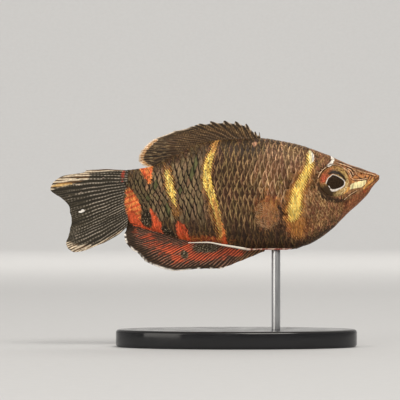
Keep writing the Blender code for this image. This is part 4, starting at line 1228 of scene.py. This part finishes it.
# %% Anal fin
ANAL_START, ANAL_END = 20.6, 46.2
ANAL_MARGIN = ((21.0, -13.25), (22.3, -13.8), (24.2, -14.55), (26.2, -15.3), (27.7, -15.9), (28.9, -16.3),
               (33.0, -16.45), (37.1, -16.7), (39.3, -16.4), (41.5, -15.7), (43.7, -14.0), (46.2, -11.8),
               (46.6, -10.6), (46.5, -9.9), (46.2, -9.3))
ANAL_RAYS, ANAL_SPINES = 26, 8
RED_AREAS = (((42.4, -10.5), (2.2, 0.7)), ((40.8, -11.9), (2.0, 0.7)), ((38.6, -12.9), (2.8, 1.1)),
             ((36.6, -14.4), (2.0, 0.9)), ((33.4, -14.1), (2.8, 0.8)), ((30.2, -14.0), (2.6, 0.7)),
             ((27.3, -13.2), (2.6, 0.85)), ((45.2, -9.4), (1.2, 0.9)), ((34.8, -12.9), (1.2, 1.4)))
DARK_AREAS = (((35.6, -13.8), (0.7, 0.8)), ((31.7, -12.6), (2.4, 0.75)))
spiny_anal = (ANAL_SPINES - 1) / (ANAL_RAYS - 1)
anal, at, numbers = fin_piece(
    "anal_membrane", along_outline(belly_line, ANAL_START, ANAL_END, -ROOT_SUNK),
    margin_curve(ANAL_MARGIN, lambda share: 1 - (1 - share) ** 1.9), rays=ANAL_RAYS, rows=48, per_ray=18,
    forks=FORK_EARLY, thick=(0.07, 0.19, 0.04, 0.5), seat=0.28,
    notch=lambda share: np.where(share <= spiny_anal, 0.1, 0.05), sway=0.25, seed=5)


def dots_at(value, places, half):
    """Short dashes at given places of a value, soft at their ends."""
    return most(*[painted(half - np.abs(value - one), 0.1) for one in places])


red, dark = (most(*[patch(*area, at.behind, at.above) for area in areas])
             for areas in (RED_AREAS, DARK_AREAS))
spotted = 0.5 + 0.5 * np.sin(at.behind * 9.5 + np.sin(at.behind * 4.1))
edge = ease(at.gap, 0.42, 0.24) * most(
    ease(at.behind, 34.0, 35.0) * ease(at.behind, 41.4, 40.8),
    dots_at(at.behind, (28.1, 28.9, 30.7, 33.0), 0.24),
    spotted * ease(at.behind, 40.8, 41.3) * ease(at.behind, 43.9, 43.5),
    ease(at.behind, 44.0, 44.2) * ease(at.behind, 45.5, 45.2),
    dots_at(at.above, (-10.2, -11.0, -11.5), 0.22) * ease(at.behind, 45.8, 46.1),
)
low_rise = 1.7 + 1.6 * ease(at.behind, 39.0, 42.0)
keep(anal, **numbers, red=painted(red, 0.9) * np.where(at.behind > 38, 0.7, 0.85), dark=painted(dark, 0.3),
     margin=edge, tan=ease(at.behind, 28.5, 24.5) * 0.8,
     low=ease(at.gap, low_rise, 0.6) * ease(at.behind, 28.0, 31.0) * 0.8)
ANAL_MARKS = (("tan", "#453020", "#8a6440"), ("red", "#843420", "#e4683f"), ("dark", "#2c2318", "#54462f"),
              ("low", "#281c12", "#46321e"))
anal_paint = fin_material("satin anal fin paint", "#2d1f16", "#5c3c28", "#a67a62", ANAL_MARKS,
                          specks=(("dark", "#b5a58a"),), margin="#f6ecdf")
finish_piece(anal, anal_paint, "fin", "anal_fin")

# %% Tail fin
TAIL_BASE = ((45.9, 1.55), (45.9, -8.6))
TAIL_MARGIN = ((53.6, 1.6), (54.1, 1.22), (56.3, 0.88), (57.8, 0.6), (58.9, 0.05), (59.7, -0.7),
               (60.2, -1.85), (58.3, -3.4), (56.7, -5.3), (56.25, -7.8), (56.6, -10.1), (57.1, -11.8),
               (56.6, -12.8), (55.7, -13.35), (54.4, -13.2), (51.3, -12.0))
# The way along the margin at which the tips stand, by share of the root: close together in the notch.
TAIL_TIPS = ((0, 0), (0.18, 0.28), (0.36, 0.48), (0.6, 0.64), (0.84, 0.78), (1, 1))
TAIL_RAYS = 13
UPPER_LOBE = ((53.4, 0.7, 0.7), (56.2, 0.0, 1.0), (58.3, -0.5, 1.0), (60.2, -1.6, 0.5))
TOP_EDGE = ((53.8, 1.5, 0.36), (50.0, 1.75, 0.36), (46.4, 1.8, 0.28))
LOWER_LOBE = ((56.7, -12.0, 0.6), (55.4, -12.7, 0.7), (53.0, -12.2, 0.4))
LOW_EDGE = ((56.2, -13.2, 0.1), (54.4, -13.15, 0.22), (51.5, -12.0, 0.2), (49.1, -10.7, 0.16),
            (46.9, -9.35, 0.1))
GOLD_RAY = ((59.4, -1.35, 0.25), (58.0, -1.05, 0.3), (56.3, -0.85, 0.28))
WHITE_SPOTS = (((54.12, -5.78), (0.3, 0.24)), ((54.5, -5.98), (0.3, 0.16)))
tail, at, numbers = fin_piece(
    "tail_membrane", straight(*TAIL_BASE), margin_curve(TAIL_MARGIN, smooth_line(TAIL_TIPS)),
    rays=TAIL_RAYS, rows=72, per_ray=24, forks=FORK_TWICE, thick=(0.08, 0.22, 0.04, 0.8), seat=0.24,
    notch=lambda share: 0.06, bow=lambda share: 0.2 - 0.6 * share, sway=0.35, every=0.5, seed=8, waver=0.03)
pale, hem, gold, root_bar = (deepest(strokes, at.behind, at.above) for strokes in (
    (UPPER_LOBE, TOP_EDGE, LOWER_LOBE, LOW_EDGE), (TOP_EDGE, LOW_EDGE), (GOLD_RAY,), (ROOT_BAR,)))
white = most(*[patch(*spot, at.behind, at.above) for spot in WHITE_SPOTS])
stripes = ripple((at.above + 0.3 * (at.behind - 56)) / 0.42)
numbers["segment"] -= 0.55 * ease(at.out, 0.55, 0.85)
keep(tail, **numbers, pale=most(painted(pale, 0.3) * (0.55 + 0.45 * stripes), painted(hem, 0.15)),
     gold=painted(gold, 0.3) * 0.85, white=1.6 * painted(white, 0.1), orange=painted(root_bar, 0.3),
     red=0.7 * markings(at.behind, at.above)["red"])
TAIL_MARKS = (("orange", "#a84624", "#ee9c4e"), ("red", "#7e2a1a", "#bc4830"),
              ("pale", "#5e4228", "#e6d3b6"), ("gold", "#a87a44", "#d8b270"),
              ("white", "#f2ebe2", "#f2ebe2"))
tail_paint = fin_material("satin tail fin paint", "#2c261b", "#4b4334", "#b0a392", TAIL_MARKS, dash_from=0.95)
finish_piece(tail, tail_paint, "fin", "tail_fin")

# %% [markdown]
# ## Pectoral and pelvic fins
# The pectoral fins are small, nearly clear fans behind the gill covers. The pelvic fins are folded back
# along the belly, and the first ray of each runs out into a long white thread.

# %% Pectoral fins
PECTORAL_BASE = ((18.3, -5.9), (18.4, -8.2))
PECTORAL_MARGIN = ((20.4, -4.1), (22.3, -4.5), (23.0, -6.3), (22.5, -8.3), (20.8, -9.3))
PECTORAL_SPLAY = 1.5
PECTORAL_ROOT, PECTORAL_STAND = -0.12, 0.3
# Thin clear resin with a trace of paint: the body shows through between the rays.
pectoral_paint = fin_material("clear resin with thin paint", "#7e5a3a", "#b88a5e", "#d4aa80",
                              clear=(0.1, 0.75))
for name, side in SIDES:
    fan_piece, at, numbers = fin_piece(
        f"pectoral_fan_{name}", straight(*PECTORAL_BASE), margin_curve(PECTORAL_MARGIN), rays=11, rows=30,
        per_ray=12, forks=FORK_TWICE, thick=(0.05, 0.14, 0.03, 0.2), seat=0.25, notch=lambda share: 0.1,
        across=lambda b, a, out: side * (side_of_body(b, a) + PECTORAL_ROOT
                                         + (PECTORAL_STAND - PECTORAL_ROOT) * ease(out, 0.0, 0.4)
                                         + PECTORAL_SPLAY * out**1.7),
        every=0.5, seed=11)
    keep(fan_piece, **numbers)
    finish_piece(fan_piece, pectoral_paint, "fin", f"pectoral_fin_{name}")

# %% Pelvic fins
PELVIC_THREAD = ((16.0, -12.62), (17.2, -12.78), (20.1, -12.76), (23.8, -12.82), (25.0, -12.62),
                 (28.7, -12.0), (31.5, -11.55), (34.9, -11.62))
PELVIC_RADII = ((0, 0.06), (0.06, 0.13), (0.18, 0.15), (0.36, 0.14), (0.44, 0.22), (0.52, 0.21),
                (0.7, 0.15), (1, 0.06))
ROD_RADIUS = 0.8
THREAD_SIDES = 16
# Painted resin thread: warm pink at the root and white along its length.
thread_paint, add, shade = new_material("white enamel thread paint", Roughness=0.35, Coat_Weight=0.2,
                                        Coat_Roughness=0.2)
fine = add("TexNoise", add("TexCoord"), Scale=1.6 * PER_MM, Detail=3.0)
tone = add("Mix", add("MapRange", fine, 0.42, 0.62), "#8f3a24", "#e6c8b4")
shade(Base_Color=add("Mix", "white", tone, "#f4ecdc"))
line = along(PELVIC_THREAD, 140)
way = np.linspace(0, 1, len(line))
radii = smooth_line(PELVIC_RADII)(way) * (1 + 0.04 * np.cos(TAU * way * 45))
beside = np.maximum(side_of_body(line[:, 0], line[:, 1]) + 0.12, ROD_RADIUS + 0.3) + radii
turn = turns(THREAD_SIDES)
for name, side in SIDES:
    tube = np.stack(np.broadcast_arrays(
        SNOUT_X - line[:, :1],
        side * beside[:, None] + 0.8 * radii[:, None] * np.sin(turn),
        SNOUT_Z + line[:, 1:] + radii[:, None] * np.cos(turn),
    ), -1)
    thread = closed_tube(f"pelvic_thread_{name}", tube)
    keep(thread, white=np.repeat(ease(way, 0.4, 0.48), THREAD_SIDES))
    finish_piece(thread, thread_paint, "fin", f"pelvic_fin_{name}")

# %% [markdown]
# ## The stand
# A plain stand holds the fish: an oval plate of black acrylic with a softened rim and a steel rod. Both
# are profiles carried round: the plate's round an oval, the rod's round a circle.

# %% Stand pieces
BASE_X, BASE_HALVES, BASE_HEIGHT, BASE_EDGE = 4.0, (22.0, 12.0), 3.2, 0.6
ROD_BEHIND = 18.9
STAND_SIDES = 128


def carried_round(name, profile, centre, halves):
    """A closed body: a profile of (inset, height) points carried round an oval of two half widths."""
    inset, height = np.array(profile, float).T[..., None]
    turn = turns(STAND_SIDES)
    x, y = centre[0] + (halves[0] - inset) * np.cos(turn), centre[1] + (halves[1] - inset) * np.sin(turn)
    return closed_tube(name, np.stack([x, y, centre[2] + height + 0 * turn], -1))


arc = np.linspace(0, math.pi / 2, 8)
inset, rise = BASE_EDGE * (1 - np.cos(arc)), BASE_EDGE * (1 - np.sin(arc))
lower, upper = np.stack([inset, rise], -1)[::-1], np.stack([inset, BASE_HEIGHT - rise], -1)
plate = carried_round("stand_plate", np.vstack([(3.0, 0.0), lower, upper, (3.0, BASE_HEIGHT)]),
                      (BASE_X, 0, 0), BASE_HALVES)
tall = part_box("stand_rod")[1].z / MM - BASE_HEIGHT + 0.9
rod = carried_round("stand_pin", ((0.2, -0.4), (0.0, -0.2), (0.0, 0.1), (0.0, tall - 0.3), (0.15, tall)),
                    (SNOUT_X - ROD_BEHIND, 0, BASE_HEIGHT), (ROD_RADIUS, ROD_RADIUS))

# %% Stand materials
# Polished cast acrylic, black: deep gloss with a little dust in its sheen.
acrylic, add, shade = new_material("polished black cast acrylic", IOR=1.49)
dust = add("TexNoise", add("TexCoord"), Scale=0.25 * PER_MM, Detail=5.0)
shade(Roughness=add("MapRange", dust, 0.35, 0.7, 0.1, 0.24),
      Base_Color=add("Mix", dust, "#0d0d0f", "#1c1c1f"))
finish_piece(plate, acrylic, "stand_base", "stand_base")

# Brushed stainless steel: drawn along its length, so the fine lines run up the rod.
steel, add, shade = new_material("brushed stainless steel", Metallic=1.0)
drawn = add("Mapping", add("TexCoord"), Scale=(1.0, 1.0, 0.03))
lines = add("TexNoise", drawn, Scale=9.0 * PER_MM, Detail=2.0)
shade(Roughness=add("MapRange", lines, 0, 1, 0.2, 0.42),
      Base_Color=add("Mix", lines, "#a5a6a8", "#d0d1d2"))
finish_piece(rod, steel, "stand_rod", "stand_rod")

# %% [markdown]
# ## Floor, light and camera
# The floor is pale paper that sweeps up to a wall all round, so that every view has a plain ground. Large
# soft lamps light the model from above and from both sides, and one lights the wall behind it. The camera
# looks straight at the fish's right side through a long lens, level, and framed as in the picture that the
# model follows.

# %% Stage
FLOOR_RADIUS, SWEEP_RADIUS, WALL_HEIGHT = 1.2, 0.4, 0.8
STAGE_SIDES = 96
bend = np.linspace(0, math.pi / 2, 16)
turn = turns(STAGE_SIDES)
sweep_r = np.concatenate([[0.001, 0.4], FLOOR_RADIUS + SWEEP_RADIUS * np.append(np.sin(bend), 1)])[:, None]
sweep_z = np.concatenate([[0, 0], SWEEP_RADIUS * (1 - np.cos(bend)), [WALL_HEIGHT]])[:, None]
bowl = np.stack([sweep_r * np.cos(turn), sweep_r * np.sin(turn), sweep_z + 0 * turn], -1)
bowl_faces = grid_faces(len(sweep_r), STAGE_SIDES, wrap=True)
stage_mesh = bpy.data.meshes.new("paper_floor")
stage_mesh.from_pydata(bowl.reshape(-1, 3).tolist(), [], bowl_faces.tolist() + [list(range(STAGE_SIDES))])
stage_mesh.shade_smooth()
floor = new_object("paper_floor", stage_mesh)
paper, add, shade = new_material("matt seamless paper", Roughness=0.9)
fibre = add("TexNoise", add("TexCoord"), Scale=0.5 * PER_MM, Detail=4.0)
shade(Base_Color=add("Mix", fibre, "#cbccce", "#d2d3d5"))
floor.data.materials.append(paper)

# %% Lamps
LAMP_COLOUR = (1.0, 0.955, 0.88)
FISH_MIDDLE = (0.0, 0.0, 0.027)


def lamp(name, place, aim, size, power):
    """A square soft lamp that faces a point."""
    light = bpy.data.lights.new(name, "AREA")
    light.size = size
    light.energy = power
    light.color = LAMP_COLOUR
    made = new_object(name, light)
    made.location = place
    way = np.array(aim, float) - place
    made.rotation_euler = (math.acos(-way[2] / np.linalg.norm(way)), 0, math.atan2(-way[0], way[1]))


lamp("key", (0.25, -0.55, 0.8), FISH_MIDDLE, 0.45, 4.6)
lamp("fill", (-0.7, -0.6, 0.3), FISH_MIDDLE, 0.6, 2.3)
lamp("back", (0.1, 0.5, 0.7), FISH_MIDDLE, 0.5, 1.2)
lamp("wall", (0.0, 0.8, 0.6), (0.0, 1.6, 0.0), 0.6, 3.0)
world = bpy.data.worlds.new("soft room")
world.use_nodes = True
fill(world.node_tree.nodes["Background"], {"Color": "#f4f0ea", "Strength": 0.6})
bpy.context.scene.world = world
bpy.context.scene.view_settings.view_transform = "Standard"

# %% Camera
FRAME_WIDTH = 72.96 * MM
FRAME_CENTRE = (-2.64 * MM, 26.77 * MM)
CAMERA_DISTANCE = 0.6
camera_data = bpy.data.cameras.new("camera")
camera_data.sensor_width = 36.0
camera_data.lens = camera_data.sensor_width * CAMERA_DISTANCE / FRAME_WIDTH
camera_data.clip_start = 0.01
camera = new_object("camera", camera_data)
camera.location = (FRAME_CENTRE[0], -CAMERA_DISTANCE, FRAME_CENTRE[1])
camera.rotation_euler = (math.pi / 2, 0, 0)
bpy.context.scene.camera = camera
